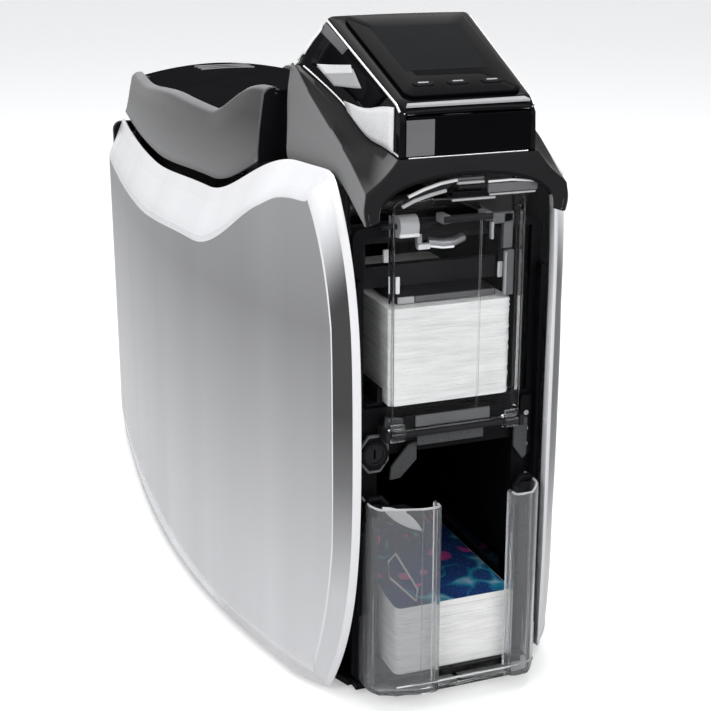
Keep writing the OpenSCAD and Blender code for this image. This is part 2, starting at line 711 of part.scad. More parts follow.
module cartridge_side(s) {
    scale([s, 1, 1]) difference() {
        block([frame_half - 3, takeup_y - 17, spool_z - 17], [frame_half - 0.3, supply_y + 19, spool_z + 14]);
        for (y = [supply_y, takeup_y]) rod(frame_half - 4, frame_half, y, spool_z, spool_bore + 0.6);
        block([frame_half - 4, platen_y - 17, spool_z - 9], [frame_half, platen_y + 17, spool_z + 15]);
    }
}

module ribbon_cartridge() {
    color([0.2, 0.24, 0.3]) {
        cartridge_side(-1);
        cartridge_side(1);
        block([-frame_half + 1, takeup_y - 17, spool_z + 8], [frame_half - 1, takeup_y - 15, spool_z + 14]);
        block([-frame_half + 1, supply_y + 17, spool_z - 17], [frame_half - 1, supply_y + 19, spool_z + 14]);
    }
}

module spool(y, roll_r) {
    color([0.15, 0.15, 0.2]) {
        rod(-frame_half - frame_t - 1, frame_half + frame_t + 1, y, spool_z, spool_bore);
        rod(-30, 30, y, spool_z, spool_r);
        rod(-28, 28, y, spool_z, roll_r);
    }
}

module supply_spool() {
    spool(supply_y, 14);
}

module takeup_spool() {
    spool(takeup_y, 9);
}

module exit_chute() {
    color([0.1, 0.1, 0.11]) {
        block([-frame_half, exit_y + 14, exit_z + 7], [frame_half, platen_y + 30, exit_z + 8.5]);
        block([-frame_half, platen_y + 28.5, exit_z + 8.5], [frame_half, platen_y + 30, input_floor_z + 6]);
    }
}

// Cards with rounded corners, lying across the printer
module cards(y, z, count) {
    translate([0, 0, z]) linear_extrude(count*card_t)
        rounded(-card_w/2, card_w/2, y, y + card_l, card_r);
}

module input_card_stack() {
    color([0.93, 0.93, 0.9]) cards(stack_y, input_floor_z, input_cards);
}

module output_card_stack() {
    color([0.93, 0.93, 0.9]) cards(output_stack_y, output_floor_z, output_cards);
}

module printed_card() {
    color([0.15, 0.2, 0.45]) cards(output_stack_y, output_floor_z + output_cards*card_t, 1);
}

// Guide rails that carry the pressure plate above the input stack
module hopper_guides() {
    top = input_floor_z + input_stack_h;
    color([0.16, 0.16, 0.17]) {
        for (x = [-1, 1]) scale([x, 1, 1])
            block([frame_half - 6, stack_y + 20, top + 4], [frame_half, stack_y + 32, plate_top_z]);
        block([-frame_half + 6, stack_y + 26, plate_top_z - 4], [frame_half - 6, stack_y + 32, plate_top_z]);
        rod(-frame_half, frame_half, stack_y + 50, plate_top_z - 4, 3);
    }
}

module pressure_plate() {
    top = input_floor_z + input_stack_h + 0.3;
    color([0.2, 0.2, 0.22]) {
        block([-22, stack_y + 6, top], [22, stack_y + 60, top + 3]);
        block([-frame_half + 6.3, stack_y + 22, top + 3], [frame_half - 6.3, stack_y + 25.7, top + 12]);
    }
}

module shaft(y, z, gear_phase, roll_half) {
    color([0.75, 0.75, 0.77]) rod(-frame_half - frame_t - 1, gear_x + gear_w + 0.5, y, z, shaft_r);
    color([0.1, 0.1, 0.1]) if (roll_half > 0) for (s = [-1, 1]) scale([s, 1, 1]) rod(3, roll_half, y, z, roller_r);
    color([0.85, 0.85, 0.8]) translate([gear_x, y, z]) gear(gear_teeth, gear_w, gear_phase);
}

module pick_roller() {
    shaft(pick_y, axle_z, roller_phase, 15);
}

module front_idler() {
    shaft(front_idler_y, axle_z, idler_phase, 0);
}

module feed_roller() {
    shaft(feed_y, axle_z, roller_phase, 26);
}

module rear_idler() {
    shaft(rear_idler_y, axle_z, idler_phase, 0);
}

module platen_roller() {
    shaft(platen_y, axle_z, roller_phase, 28);
}

module exit_roller() {
    shaft(exit_y, exit_z, exit_phase, 26);
}

module motor_pinion() {
    color([0.8, 0.7, 0.3]) {
        translate([gear_x, platen_y, motor_z]) gear(pinion_teeth, gear_w, pinion_phase);
        rod(gear_x + gear_w, gear_x + gear_w + 2.2, platen_y, motor_z, 2.5);
    }
}

// Lid sections: lower edge, wall, side ridge, shoulder and crown
function lid_ridge(y) = valley_z + 33 + 17*(1 - ease(lid_front_y + 5, lid_front_y + 62, y))
    - 8*ease(lid_front_y + 110, lid_front_y + 230, y);
function lid_crown(y) = lid_ridge(y) + 2 + 4*ease(lid_front_y, lid_front_y + 50, y)
    - 3*ease(lid_front_y + 120, lid_front_y + 240, y);
function lid_low(y) = rim_top(y) + lid_seam;
function lid_fall(y) = pow(max(0, (y - lid_rear_y + lid_nose)/lid_nose), 1.6);
lid_rows = 26;
function lid_y(k) = lid_front_y + (lid_rear_y - lid_front_y)*k/lid_rows;
function lid_section(y, t) = let(
        w = side_half(y) - lid_inset - t,
        low = lid_low(y),
        ridge = max(low + 3.5, lid_ridge(y) - (lid_ridge(y) - low - 6)*lid_fall(y)),
        crown = max(ridge + 0.5, lid_crown(y) - (lid_crown(y) - low - 7)*lid_fall(y)),
        half = [[w, low], [w - 1, low + (ridge - low)*0.35], [w - 4, ridge - 3 - t*0.4], [w - 8, ridge - t],
            [w - 22, ridge + (crown - ridge)*0.55 - t], [(w - 22)*0.5, ridge + (crown - ridge)*0.9 - t]])
    concat([for (p = half) [-p[0], y, p[1]]], [[0, y, crown - t]], [for (k = [5:-1:0]) [half[k][0], y, half[k][1]]]);

module ribbon_lid() {
    color([0.13, 0.13, 0.14]) {
        shell([for (k = [0:lid_rows]) lid_section(lid_y(k), 0)],
            [for (k = [0:lid_rows]) lid_section(lid_y(k), lid_t)], true);
        lid_end(lid_front_y);
        for (x = [-1, 1]) scale([x, 1, 1]) difference() {
            hull() {
                rod(hinge_x, hinge_x + 5, hinge_y, hinge_z, 4.5);
                block([hinge_x, hinge_y - 26, hinge_z + 8], [hinge_x + 5, hinge_y - 14, lid_ridge(hinge_y) - 0.9]);
            }
            rod(hinge_x - 1, hinge_x + 6, hinge_y, hinge_z, hinge_r + running_fit);
        }
    }
}

// Wall that closes the front end of the lid
module lid_end(y) {
    sec = lid_section(y, 0.3);
    translate([0, y + 2, 0]) rotate([90, 0, 0]) linear_extrude(2) polygon([for (p = sec) [p[0], p[2]]]);
}

module lid_hinge_pin() {
    color([0.7, 0.7, 0.7]) {
        rod(-hinge_x - 7.2, hinge_x + 7.2, hinge_y, hinge_z, hinge_r);
        for (x = [-1, 1]) scale([x, 1, 1]) {
            block([hinge_x + 5.4, hinge_y - 3.5, hinge_z - 38], [hinge_x + 7.2, hinge_y + 2.1, hinge_z + 2.5]);
            block([hinge_x + 5.4, hinge_y + 2.1, hinge_z - 38], [hinge_x + 7.2, back_in, hinge_z - 14]);
        }
    }
}

module printhead_bracket() {
    color([0.5, 0.5, 0.52]) {
        block([-28, platen_y - 3, axle_z + roller_r + 8], [28, platen_y + 3, lid_ridge(platen_y) - 6]);
        block([-28, platen_y - 14, lid_ridge(platen_y) - 6], [28, platen_y + 14, lid_ridge(platen_y) - 3.2]);
        for (x = [-20, 20]) block([x - 3, platen_y - 3, lid_ridge(platen_y) - 3.2],
            [x + 3, platen_y + 3, lid_ridge(platen_y)*0.1 + lid_crown(platen_y)*0.9 - lid_t - 0.2]);
    }
}

module printhead() {
    color([0.25, 0.22, 0.2]) block([-28, platen_y - 6, axle_z + roller_r + card_t + 0.5],
        [28, platen_y + 6, axle_z + roller_r + 8]);
}

module hopper_door() {
    half = door_w/2 - 1.4;
    color([0.8, 0.85, 0.9, 0.35]) difference() {
        union() {
            face_plate(-half, half, door_pivot_z + 2, door_pivot_z + door_h, door_y, clear_t, 3);
            for (x = [-1, 1]) scale([x, 1, 1])
                block([half - 1.5, door_y + clear_t, door_pivot_z + 6], [half, door_y + clear_t + 3, door_pivot_z + door_h - 6]);
            for (x = [-1, 1]) scale([x, 1, 1]) {
                rod(half - 6, half, door_pivot_y, door_pivot_z, 3);
                block([half - 6, door_y, door_pivot_z], [half, door_y + clear_t, door_pivot_z + 5]);
            }
        }
        rod(-half - 1, half + 1, door_pivot_y, door_pivot_z, door_pin_r + running_fit);
    }
}

module door_handle() {
    z = door_pivot_z + door_h - 9;
    color([0.25, 0.25, 0.27]) {
        block([-11, door_y - 8, z], [11, door_y - 5, z + 4]);
        for (x = [-11, 7]) block([x, door_y - 5, z], [x + 4, door_y, z + 4]);
    }
}

module door_hinge_pin() {
    half = door_w/2 - 1.4;
    color([0.7, 0.7, 0.7]) {
        rod(-half - 2.4, half + 2.4, door_pivot_y, door_pivot_z, door_pin_r);
        for (x = [-1, 1]) scale([x, 1, 1])
            block([half + 0.6, door_pivot_y - 2.5, door_pivot_z - 2], [half + 2.4, bezel_y, door_pivot_z + 2.5]);
    }
}

base_tray();
left_side_panel();
right_side_panel();
rear_panel();
front_bezel();
left_frame_plate();
right_frame_plate();
frame_crossbars();
input_hopper_tray();
output_tray();
left_output_fin();
right_output_fin();
head_hood();
head_shell();
display_glass();
lcd_panel();
lock_surround();
status_strip();
status_lamps();
main_board();
power_inlet();
usb_port();
network_port();
transport_motor();
motor_bracket();
cooling_fan();
rubber_feet();
chassis_screws();
bearing_bushes();
ribbon_cartridge();
exit_chute();
input_card_stack();
output_card_stack();
printed_card();
hopper_guides();
lid_hinge_pin();
ribbon_lid();
printhead_bracket();
printhead();
hopper_door();
door_handle();
door_hinge_pin();
left_button();
middle_button();
right_button();
power_button();
lock_barrel();
pressure_plate();
pick_roller();
front_idler();
feed_roller();
rear_idler();
platen_roller();
exit_roller();
motor_pinion();
supply_spool();
takeup_spool();
fan_rotor();
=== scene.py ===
"""Card printer: looks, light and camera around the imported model."""

import math
import random

import bmesh
import bpy
from mathutils import Matrix, Vector


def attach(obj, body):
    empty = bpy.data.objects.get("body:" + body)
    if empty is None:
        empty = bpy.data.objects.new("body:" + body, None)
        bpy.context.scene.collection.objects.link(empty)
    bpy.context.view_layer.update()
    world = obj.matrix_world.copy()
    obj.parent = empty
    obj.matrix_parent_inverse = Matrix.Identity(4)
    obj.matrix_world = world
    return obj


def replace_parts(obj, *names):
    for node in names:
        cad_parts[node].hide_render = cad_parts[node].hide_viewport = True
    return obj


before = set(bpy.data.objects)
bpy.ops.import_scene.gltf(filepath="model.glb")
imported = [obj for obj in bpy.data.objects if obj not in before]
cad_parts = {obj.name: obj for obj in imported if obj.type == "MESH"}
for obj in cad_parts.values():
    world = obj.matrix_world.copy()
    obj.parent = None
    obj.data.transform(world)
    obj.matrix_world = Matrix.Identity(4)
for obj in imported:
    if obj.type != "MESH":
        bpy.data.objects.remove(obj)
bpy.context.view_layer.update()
MM = 0.001

# Main planes and sizes of the model, in millimetres
FRONT_Y = -177.5
RIM_FRONT = -180.2
REAR_Y = 191.5
CREASE_Y = -170.5
BEZEL_Y = -169.5
STACK_Y = -173.5
OUT_Y = -182.5
PANEL_REAR = 186.8
FRONT_HALF = 51.5
REAR_HALF = 61.0
BODY_W = 158.0
BODY_H = 282.0
PEAK_Z = 227.0
VALLEY_Z = 203.0
BOW_Z = 120.0
INPUT_Z = 131.0
OUTPUT_Z = 13.0
CARD_W = 54.0
CARD_L = 85.6
CARD_T = 0.76
CARD_ROUND = 3.2
INPUT_COUNT = 54
OUTPUT_COUNT = 40
PANEL_SKIN = 1.54
SHELL_SKIN = 2.2
RIM_INSET = 9.5

# Height in metres over which the silver paint's painted shading and reflections change, and white light
PAINT_TOP = 0.24
WHITE = (1, 1, 1, 1)

SIDES = ((-1, "left"), (1, "right"))


def ease(a, b, v):
    """Smooth step from 0 at a to 1 at b."""
    t = min(max((v - a) / (b - a), 0.0), 1.0)
    return t * t * (3 - 2 * t)


def mix(a, b, t):
    """Value between a and b."""
    return a + (b - a) * t


def wave_share(t):
    """Half a sine wave over t from 0 to 1."""
    return math.sin(math.pi * t)


def ring(cx, cz, rx, rz, turns):
    """Points round a centre at the given angles in degrees."""
    return [(cx + rx * math.cos(a), cz + rz * math.sin(a)) for a in map(math.radians, turns)]


def mirrored(half, y):
    """Whole section at one station from its right half, whose last point lies in the middle."""
    return [(-x, y, z) for x, z in half] + [(x, y, z) for x, z in reversed(half[:-1])]


def sections(half, start, end, count):
    """Whole sections at even stations; half(y) gives a right half."""
    return [mirrored(half(mix(start, end, k / count)), mix(start, end, k / count)) for k in range(count + 1)]


def add_camera():
    """Camera where the photograph was taken from, with the same angle of view."""
    az, pitch = math.radians(-21.14), math.radians(17.76)
    forward = Vector((-math.sin(az) * math.cos(pitch), math.cos(az) * math.cos(pitch), -math.sin(pitch)))
    data = bpy.data.cameras.new("camera")
    data.sensor_width = 36.0
    data.lens = 1500.0 / 711.0 * 36.0
    data.clip_start = 0.01
    camera = bpy.data.objects.new("camera", data)
    camera.location = (-0.2469, -0.7036, 0.3369)
    camera.rotation_euler = forward.to_track_quat("-Z", "Y").to_euler()
    bpy.context.collection.objects.link(camera)
    bpy.context.scene.camera = camera


# Materials, all procedural


def new_material(name):
    """Empty material with its node tree and shader."""
    mat = bpy.data.materials.new(name)
    mat.use_nodes = True
    tree = mat.node_tree
    return mat, tree, tree.nodes["Principled BSDF"]


def fill(tree, node, inputs):
    """Set a node's inputs to values, or link them to the outputs of other nodes."""
    for name, value in inputs.items():
        if isinstance(value, bpy.types.NodeSocket):
            tree.links.new(value, node.inputs[name])
        else:
            node.inputs[name].default_value = value


def add_node(tree, kind, inputs, **settings):
    """New shader node with its settings and inputs."""
    node = tree.nodes.new("ShaderNode" + kind)
    for name, value in settings.items():
        setattr(node, name, value)
    fill(tree, node, inputs)
    return node


def object_coords(tree):
    """Coordinates of the object itself, in metres."""
    return add_node(tree, "TexCoord", {}).outputs["Object"]


def noise(tree, scale, detail=3.0, stretch=(1, 1, 1)):
    """Noise over the object's own coordinates."""
    mapping = add_node(tree, "Mapping", {"Vector": object_coords(tree), "Scale": stretch})
    texture = add_node(tree, "TexNoise", {"Vector": mapping.outputs["Vector"], "Scale": scale, "Detail": detail})
    return texture.outputs["Fac"]


def ramp(tree, value, stops):
    """Colour ramp; stops are (place, colour), where a single number stands for a grey."""
    node = add_node(tree, "ValToRGB", {"Fac": value})
    stops = [(place, (*((c, c, c) if isinstance(c, float) else c), 1)) for place, c in stops]
    first, last = node.color_ramp.elements[0], node.color_ramp.elements[-1]
    first.position, first.color = stops[0]
    last.position, last.color = stops[-1]
    for place, colour in stops[1:-1]:
        node.color_ramp.elements.new(place).color = colour
    return node.outputs["Color"]


def two_tone(tree, value, low, high, places=(0.3, 0.7)):
    """Ramp between two colours or greys."""
    return ramp(tree, value, [(places[0], low), (places[1], high)])


def bump(tree, height, strength, distance):
    """Normal that follows a height."""
    return add_node(tree, "Bump", {"Height": height, "Strength": strength, "Distance": distance}).outputs["Normal"]


def map_range(tree, value, low, high, **settings):
    """0 at low and 1 at high."""
    node = add_node(tree, "MapRange", {"Value": value, "From Min": low, "From Max": high}, **settings)
    return node.outputs["Result"]


def mixed(tree, share, a, b, kind="RGBA", blend="MIX"):
    """Mix of two colours or vectors."""
    node = add_node(tree, "Mix", {"Factor": share, "A": a, "B": b}, data_type=kind, blend_type=blend)
    return node.outputs["Result"]


def math_node(tree, operation, *values):
    """Result of one sum on values or outputs."""
    return add_node(tree, "Math", dict(enumerate(values)), operation=operation).outputs[0]


def split_axes(tree, vector):
    """Outputs X, Y and Z of a vector."""
    return add_node(tree, "SeparateXYZ", {"Vector": vector}).outputs


def shades(colour, spread):
    """A darker and a lighter shade of a colour."""
    return tuple(max(c * (1 - spread), 0) for c in colour), tuple(min(c * (1 + spread), 1) for c in colour)


def grey(v):
    """Very slightly cool grey."""
    return (v, v, v * 1.01)


def painted_side_light(tree, body, upper, lower, low_z, high_z):
    """Painted side light: blend from the body colour to a height gradient on faces that look to the left or right.
    """
    coords = add_node(tree, "TexCoord", {}).outputs
    sideways = math_node(tree, "ABSOLUTE", split_axes(tree, coords["Normal"])["X"])
    share = map_range(tree, sideways, 0.45, 0.85, interpolation_type="SMOOTHSTEP")
    height = map_range(tree, split_axes(tree, coords["Object"])["Z"], low_z, high_z)
    return mixed(tree, share, body, two_tone(tree, height, lower, upper, (0.0, 1.0)))


def moulded(name, colour, rough, grain=900.0, depth=0.00004, shine=0.2, side=None):
    """Moulded plastic, rubber or paint: fine grain, slow mottling and a varied sheen. side is (upper colour, lower
    colour, low z, high z), painted side light for faces that look to the left or right."""
    mat, tree, shader = new_material(name)
    body = two_tone(tree, noise(tree, 28.0, 4.0), *shades(colour, 0.12))
    if side:
        # Painted side light on faces that look to the left or right.
        body = painted_side_light(tree, body, *side)
    fine = noise(tree, grain, 2.0)
    fill(tree, shader, {"Base Color": body, "Specular IOR Level": shine, "Normal": bump(tree, fine, 0.35, depth),
                        "Roughness": two_tone(tree, fine, max(rough - 0.06, 0.02), min(rough + 0.06, 1.0))})
    return mat


def brushed(name, colour, rough, metal):
    """Brushed or rolled metal with fine upright lines."""
    mat, tree, shader = new_material(name)
    lines = noise(tree, 420.0, 3.0, (1, 1, 1 / 60))
    fill(tree, shader, {"Base Color": two_tone(tree, lines, *shades(colour, 0.06), (0.25, 0.75)),
                        "Roughness": two_tone(tree, lines, rough * 0.8, rough * 1.2, (0.2, 0.8)),
                        "Metallic": metal, "Normal": bump(tree, lines, 0.25, 0.00003)})
    return mat


def clear_plastic(name, tint, rough=0.04, bend=1.3, haze=0.0):
    """Clear or smoky moulded plastic with faint flow marks."""
    mat, tree, shader = new_material(name)
    flow = noise(tree, 45.0, 2.0, (1, 1, 0.3))
    fill(tree, shader, {"Base Color": two_tone(tree, flow, *shades(tint, 0.04)),
                        "Roughness": two_tone(tree, flow, rough * 0.7, rough * 1.3, (0.2, 0.8)),
                        "Transmission Weight": 1.0 - haze, "IOR": bend, "Normal": bump(tree, flow, 0.15, 0.00002)})
    return mat


def silver_paint_and_painted_light(name, stops, painted_highlight=None, rough=0.36, metal=0.5):
    """Satin silver paint with fine and broad upright streaks, and painted light. stops are (height in metres,
    colour): painted shading and painted reflections that change with height. The argument after stops is (low, high,
    colour), a painted highlight: where y plus half the height passes from low to high, the colour changes to it."""
    mat, tree, shader = new_material(name)
    place = split_axes(tree, object_coords(tree))
    # Painted shading and reflections: the colour follows the height.
    colour = ramp(tree, map_range(tree, place["Z"], 0.0, PAINT_TOP), [(z / PAINT_TOP, c) for z, c in stops])
    # Painted highlight: lighter beyond a slanting line across the panel.
    if painted_highlight:
        low, high, bright = painted_highlight
        diagonal = math_node(tree, "MULTIPLY_ADD", place["Z"], 0.5, place["Y"])
        share = map_range(tree, diagonal, low, high, interpolation_type="SMOOTHSTEP")
        colour = mixed(tree, share, colour, (*bright, 1))
    lines = noise(tree, 500.0, 3.0, (1, 1, 0.02))
    broad = noise(tree, 26.0, 2.0, (0.05, 1, 0.05))
    for value, share, low in ((lines, 0.5, 0.94), (broad, 1.0, 0.84)):
        tint = two_tone(tree, value, grey(low), grey(0.99), (0.25, 0.75))
        colour = mixed(tree, share, colour, tint, blend="MULTIPLY")
    fill(tree, shader, {"Base Color": colour, "Metallic": metal, "Normal": bump(tree, lines, 0.2, 0.00002),
                        "Roughness": two_tone(tree, lines, rough - 0.02, rough + 0.02, (0.2, 0.8))})
    return mat


def circuit_board():
    """Green board with copper tracks under the lacquer."""
    mat, tree, shader = new_material("board_lacquer")
    bricks = add_node(tree, "TexBrick", {
        "Vector": object_coords(tree), "Scale": 260.0, "Mortar Size": 0.03, "Color1": (0.01, 0.11, 0.04, 1),
        "Color2": (0.012, 0.13, 0.05, 1), "Mortar": (0.03, 0.2, 0.08, 1)})
    fill(tree, shader, {"Base Color": bricks.outputs["Color"],
                        "Roughness": two_tone(tree, noise(tree, 700.0), 0.28, 0.42),
                        "Normal": bump(tree, bricks.outputs["Fac"], 0.3, 0.00004)})
    return mat


def card_edges():
    """White card stock."""
    mat, tree, shader = new_material("card_stock")
    fine = noise(tree, 1500.0)
    stock = two_tone(tree, noise(tree, 60.0, 3.0, (1, 1, 12)), (0.74, 0.74, 0.73), (0.88, 0.88, 0.87))
    fill(tree, shader, {"Base Color": stock, "Roughness": two_tone(tree, fine, 0.42, 0.55),
                        "Normal": bump(tree, fine, 0.2, 0.00002)})
    return mat


def card_print():
    """Generic abstract card print: navy ground with soft red and teal shapes."""
    mat, tree, shader = new_material("card_print")
    coords = object_coords(tree)
    warp = add_node(tree, "TexNoise", {"Vector": coords, "Scale": 22.0, "Detail": 2.0}).outputs
    bent = mixed(tree, 0.25, coords, warp["Color"], "VECTOR")
    shapes = add_node(tree, "TexVoronoi", {"Vector": bent, "Scale": 27.0}).outputs["Distance"]
    ground = two_tone(tree, warp["Fac"], (0.006, 0.012, 0.06), (0.012, 0.05, 0.16), (0.35, 0.65))
    hue = ramp(tree, shapes, [
        (0.0, (0.62, 0.02, 0.08)), (0.22, (0.5, 0.03, 0.2)), (0.3, (0.012, 0.02, 0.09)),
        (0.62, (0.01, 0.02, 0.08)), (0.75, (0.01, 0.24, 0.3)), (1.0, (0.5, 0.6, 0.66))])
    fill(tree, shader, {"Base Color": mixed(tree, 1.0, ground, hue, blend="ADD"),
                        "Roughness": two_tone(tree, noise(tree, 1200.0), 0.2, 0.3)})
    return mat


def lamp_lens(name, colour, glow):
    """Speckled lens that glows faintly."""
    mat, tree, shader = new_material(name)
    fill(tree, shader, {"Base Color": two_tone(tree, noise(tree, 1400.0, 2.0), *shades(colour, 0.15)),
                        "Roughness": 0.25, "Emission Color": (*colour, 1), "Emission Strength": glow})
    return mat


M = {
    # Silver face: painted shading and reflection, lighter near the foot and darkest high up.
    "panel": silver_paint_and_painted_light("silver_face_painted_shade", [(0.0, grey(0.72)), (0.05, grey(0.6)), (0.11, grey(0.42)),
                                          (0.165, grey(0.26)), (0.21, grey(0.35)), (0.24, grey(0.4))]),
    # Silver band: painted reflections, pale near the foot and dark high on the front, and a painted highlight
    # further back.
    "band": silver_paint_and_painted_light("silver_band_painted_light", [(0.0, grey(0.65)), (0.05, grey(0.55)), (0.1, grey(0.14)),
                                         (0.13, grey(0.03)), (0.24, grey(0.025))],
                         (-0.086, -0.058, grey(0.88)), 0.3, 0.15),
    # Silver edge: painted highlight on the lip and the crease, lighter towards the top.
    "bright": silver_paint_and_painted_light("silver_edge_painted_highlight", [(0.0, grey(0.7)), (0.24, grey(0.9))], None, 0.25, 0.2),
    "case": moulded("case_black", (0.004, 0.004, 0.005), 0.45, shine=0.06),
    # Near-black hood; its left and right faces get a lighter grey by height as painted side light.
    "hood": moulded("hood_grey", (0.012, 0.012, 0.013), 0.5, grain=1500.0, shine=0.08,
                    side=(grey(0.17), grey(0.21), 0.215, 0.26)),
    # Grey lid; its left and right faces get painted side shade, darker towards the top.
    "lid": moulded("lid_grey", (0.2, 0.2, 0.21), 0.4, grain=1500.0, shine=0.1,
                   side=(grey(0.055), grey(0.2), 0.205, 0.24)),
    "lid_top": moulded("lid_gloss", (0.01, 0.01, 0.011), 0.35, depth=0.00001, shine=0.0),
    "gloss": moulded("head_gloss", (0.004, 0.004, 0.005), 0.07, depth=0.000004, shine=0.05),
    "glass": moulded("screen_glass", (0.002, 0.002, 0.003), 0.04, depth=0.000002, shine=0.02),
    "screen": moulded("screen_dark", (0.009, 0.01, 0.011), 0.12, depth=0.000002, shine=0.02),
    "clear": clear_plastic("clear_plastic", (0.97, 0.98, 0.99)),
    "fin": clear_plastic("fin_clear", (0.72, 0.73, 0.74), 0.05, 1.3, haze=0.07),
    "smoke": clear_plastic("smoky_plastic", (0.32, 0.33, 0.35), 0.08),
    "trim": brushed("bright_trim", (0.85, 0.85, 0.86), 0.18, metal=0.5),
    "steel": brushed("zinc_steel", (0.5, 0.51, 0.53), 0.3, metal=1.0),
    "bracket": brushed("grey_sheet", (0.3, 0.3, 0.31), 0.4, metal=0.7),
    "rubber": moulded("foot_rubber", (0.01, 0.01, 0.01), 0.85, grain=1800.0, depth=0.0001),
    "roller": moulded("roller_rubber", (0.25, 0.25, 0.24), 0.7, grain=1800.0, depth=0.00008),
    "gear": moulded("gear_acetal", (0.6, 0.59, 0.55), 0.4),
    "bronze": brushed("bush_bronze", (0.55, 0.36, 0.16), 0.35, metal=1.0),
    "board": circuit_board(),
    "socket": moulded("socket_black", (0.008, 0.008, 0.009), 0.5, shine=0.1),
    "cartridge": moulded("cartridge_grey", (0.02, 0.02, 0.022), 0.5, shine=0.1),
    "ribbon": moulded("ribbon_film", (0.02, 0.014, 0.035), 0.2, depth=0.00001),
    "ceramic": moulded("head_ceramic", (0.3, 0.26, 0.22), 0.3),
    "card": card_edges(),
    "print": card_print(),
    "grey": moulded("grey_plastic", (0.12, 0.12, 0.125), 0.45),
    "dark": moulded("dark_plastic", (0.014, 0.014, 0.016), 0.5, shine=0.1),
    "smoke_grey": moulded("smoky_grey", (0.055, 0.057, 0.058), 0.3, shine=0.15),
    "pale": moulded("pale_plastic", (0.4, 0.4, 0.41), 0.4),
    "pearl": moulded("pearl_reflector", (0.74, 0.74, 0.75), 0.3, shine=0.3),
    "trim_clear": clear_plastic("clear_rim", (0.93, 0.94, 0.95), 0.06, 1.25),
    "door": clear_plastic("door_clear", (0.95, 0.955, 0.965), 0.02, 1.12),
    "lamp": lamp_lens("lamp_lens", (0.34, 0.35, 0.36), 0.05),
    "button": moulded("power_cap", (0.5, 0.51, 0.53), 0.35),
}


# Mesh helpers; every length here is in millimetres


def add_mesh(name, verts, faces, look, slot, smooth=35.0, body="chassis"):
    """New piece from points in millimetres, riding on a body."""
    mesh = bpy.data.meshes.new(name)
    mesh.from_pydata([(x * MM, y * MM, z * MM) for x, y, z in verts], [], faces)
    mesh.validate()
    work = bmesh.new()
    work.from_mesh(mesh)
    bmesh.ops.recalc_face_normals(work, faces=work.faces)
    work.to_mesh(mesh)
    work.free()
    piece = bpy.data.objects.new(name, mesh)
    bpy.context.collection.objects.link(piece)
    for entry in look if isinstance(look, list) else [look]:
        mesh.materials.append(M[entry])
    shade(piece, smooth)
    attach(piece, body)
    return piece


def shade(piece, angle):
    """Smooth shading with the edges above an angle kept sharp."""
    piece.data.shade_smooth()
    piece.data.set_sharp_from_angle(angle=math.radians(angle))


def bevel(piece, width, segments=3, angle=40.0):
    """Rounds the sharp edges of a piece or CAD node without touching its mesh data."""
    mod = piece.modifiers.new("round", "BEVEL")
    mod.width = width * MM
    mod.segments = segments
    mod.limit_method = "ANGLE"
    mod.angle_limit = math.radians(angle)
    mod.harden_normals = True


def solidify(piece, thick, offset=-1.0):
    """Gives a skin its wall, inwards or outwards."""
    mod = piece.modifiers.new("wall", "SOLIDIFY")
    mod.thickness = thick * MM
    mod.offset = offset


def loft(name, rows, look, slot, closed=False, caps=False, smooth=35.0, pick=None, body="chassis"):
    """Skin through rows of points; pick(row, column) gives a face's material number."""
    width = len(rows[0])
    verts = [p for row in rows for p in row]
    faces, numbers = [], []
    for j in range(len(rows) - 1):
        for i in range(width if closed else width - 1):
            k = (i + 1) % width
            faces.append((j * width + i, j * width + k, (j + 1) * width + k, (j + 1) * width + i))
            numbers.append(pick(j, i) if pick else 0)
    if caps:
        faces.append(tuple(range(width))[::-1])
        faces.append(tuple(range((len(rows) - 1) * width, len(rows) * width)))
        numbers += [0, 0]
    piece = add_mesh(name, verts, faces, look, slot, smooth, body)
    if pick and len(piece.data.polygons) == len(numbers):
        for face, number in zip(piece.data.polygons, numbers):
            face.material_index = number
    return piece


def rounded_box(name, low, high, look, slot, radius=0.3, body="chassis"):
    """Moulded block with rounded edges."""
    x0, y0, z0 = low
    x1, y1, z1 = high
    verts = [(x, y, z) for x in (x0, x1) for y in (y0, y1) for z in (z0, z1)]
    faces = [(0, 1, 3, 2), (4, 6, 7, 5), (0, 4, 5, 1), (2, 3, 7, 6), (0, 2, 6, 4), (1, 5, 7, 3)]
    piece = add_mesh(name, verts, faces, look, slot, body=body)
    bevel(piece, radius)
    return piece


def side_box(name, side, across, along, high, look, slot, radius, body="chassis"):
    """Rounded block on one side: across, along and high are its spans in x, y and z."""
    x0, x1 = sorted((side * across[0], side * across[1]))
    rounded_box(name, (x0, along[0], high[0]), (x1, along[1], high[1]), look, slot, radius, body)


def outline_prism(name, outline, axis, low, high, look, slot, radius=0.5, smooth=35.0, body="chassis"):
    """Prism of a flat outline, drawn across one axis: 'x' takes (y, z), 'y' (x, z), 'z' (x, y)."""
    def place(a, b, c):
        return {"x": (c, a, b), "y": (a, c, b), "z": (a, b, c)}[axis]
    count = len(outline)
    verts = [place(a, b, low) for a, b in outline] + [place(a, b, high) for a, b in outline]
    faces = [tuple(range(count)), tuple(range(count, 2 * count))[::-1]]
    faces += [(i, (i + 1) % count, count + (i + 1) % count, count + i) for i in range(count)]
    piece = add_mesh(name, verts, faces, look, slot, smooth, body)
    if radius:
        bevel(piece, radius, 2, 50.0)
    return piece


def rounded_outline(x0, x1, y0, y1, r, steps=5):
    """Rectangle with round corners, as points."""
    points = []
    for cx, cy, start in ((x1 - r, y1 - r, 0), (x0 + r, y1 - r, 90), (x0 + r, y0 + r, 180), (x1 - r, y0 + r, 270)):
        for k in range(steps + 1):
            a = math.radians(start + 90.0 * k / steps)
            points.append((cx + r * math.cos(a), cy + r * math.sin(a)))
    return points


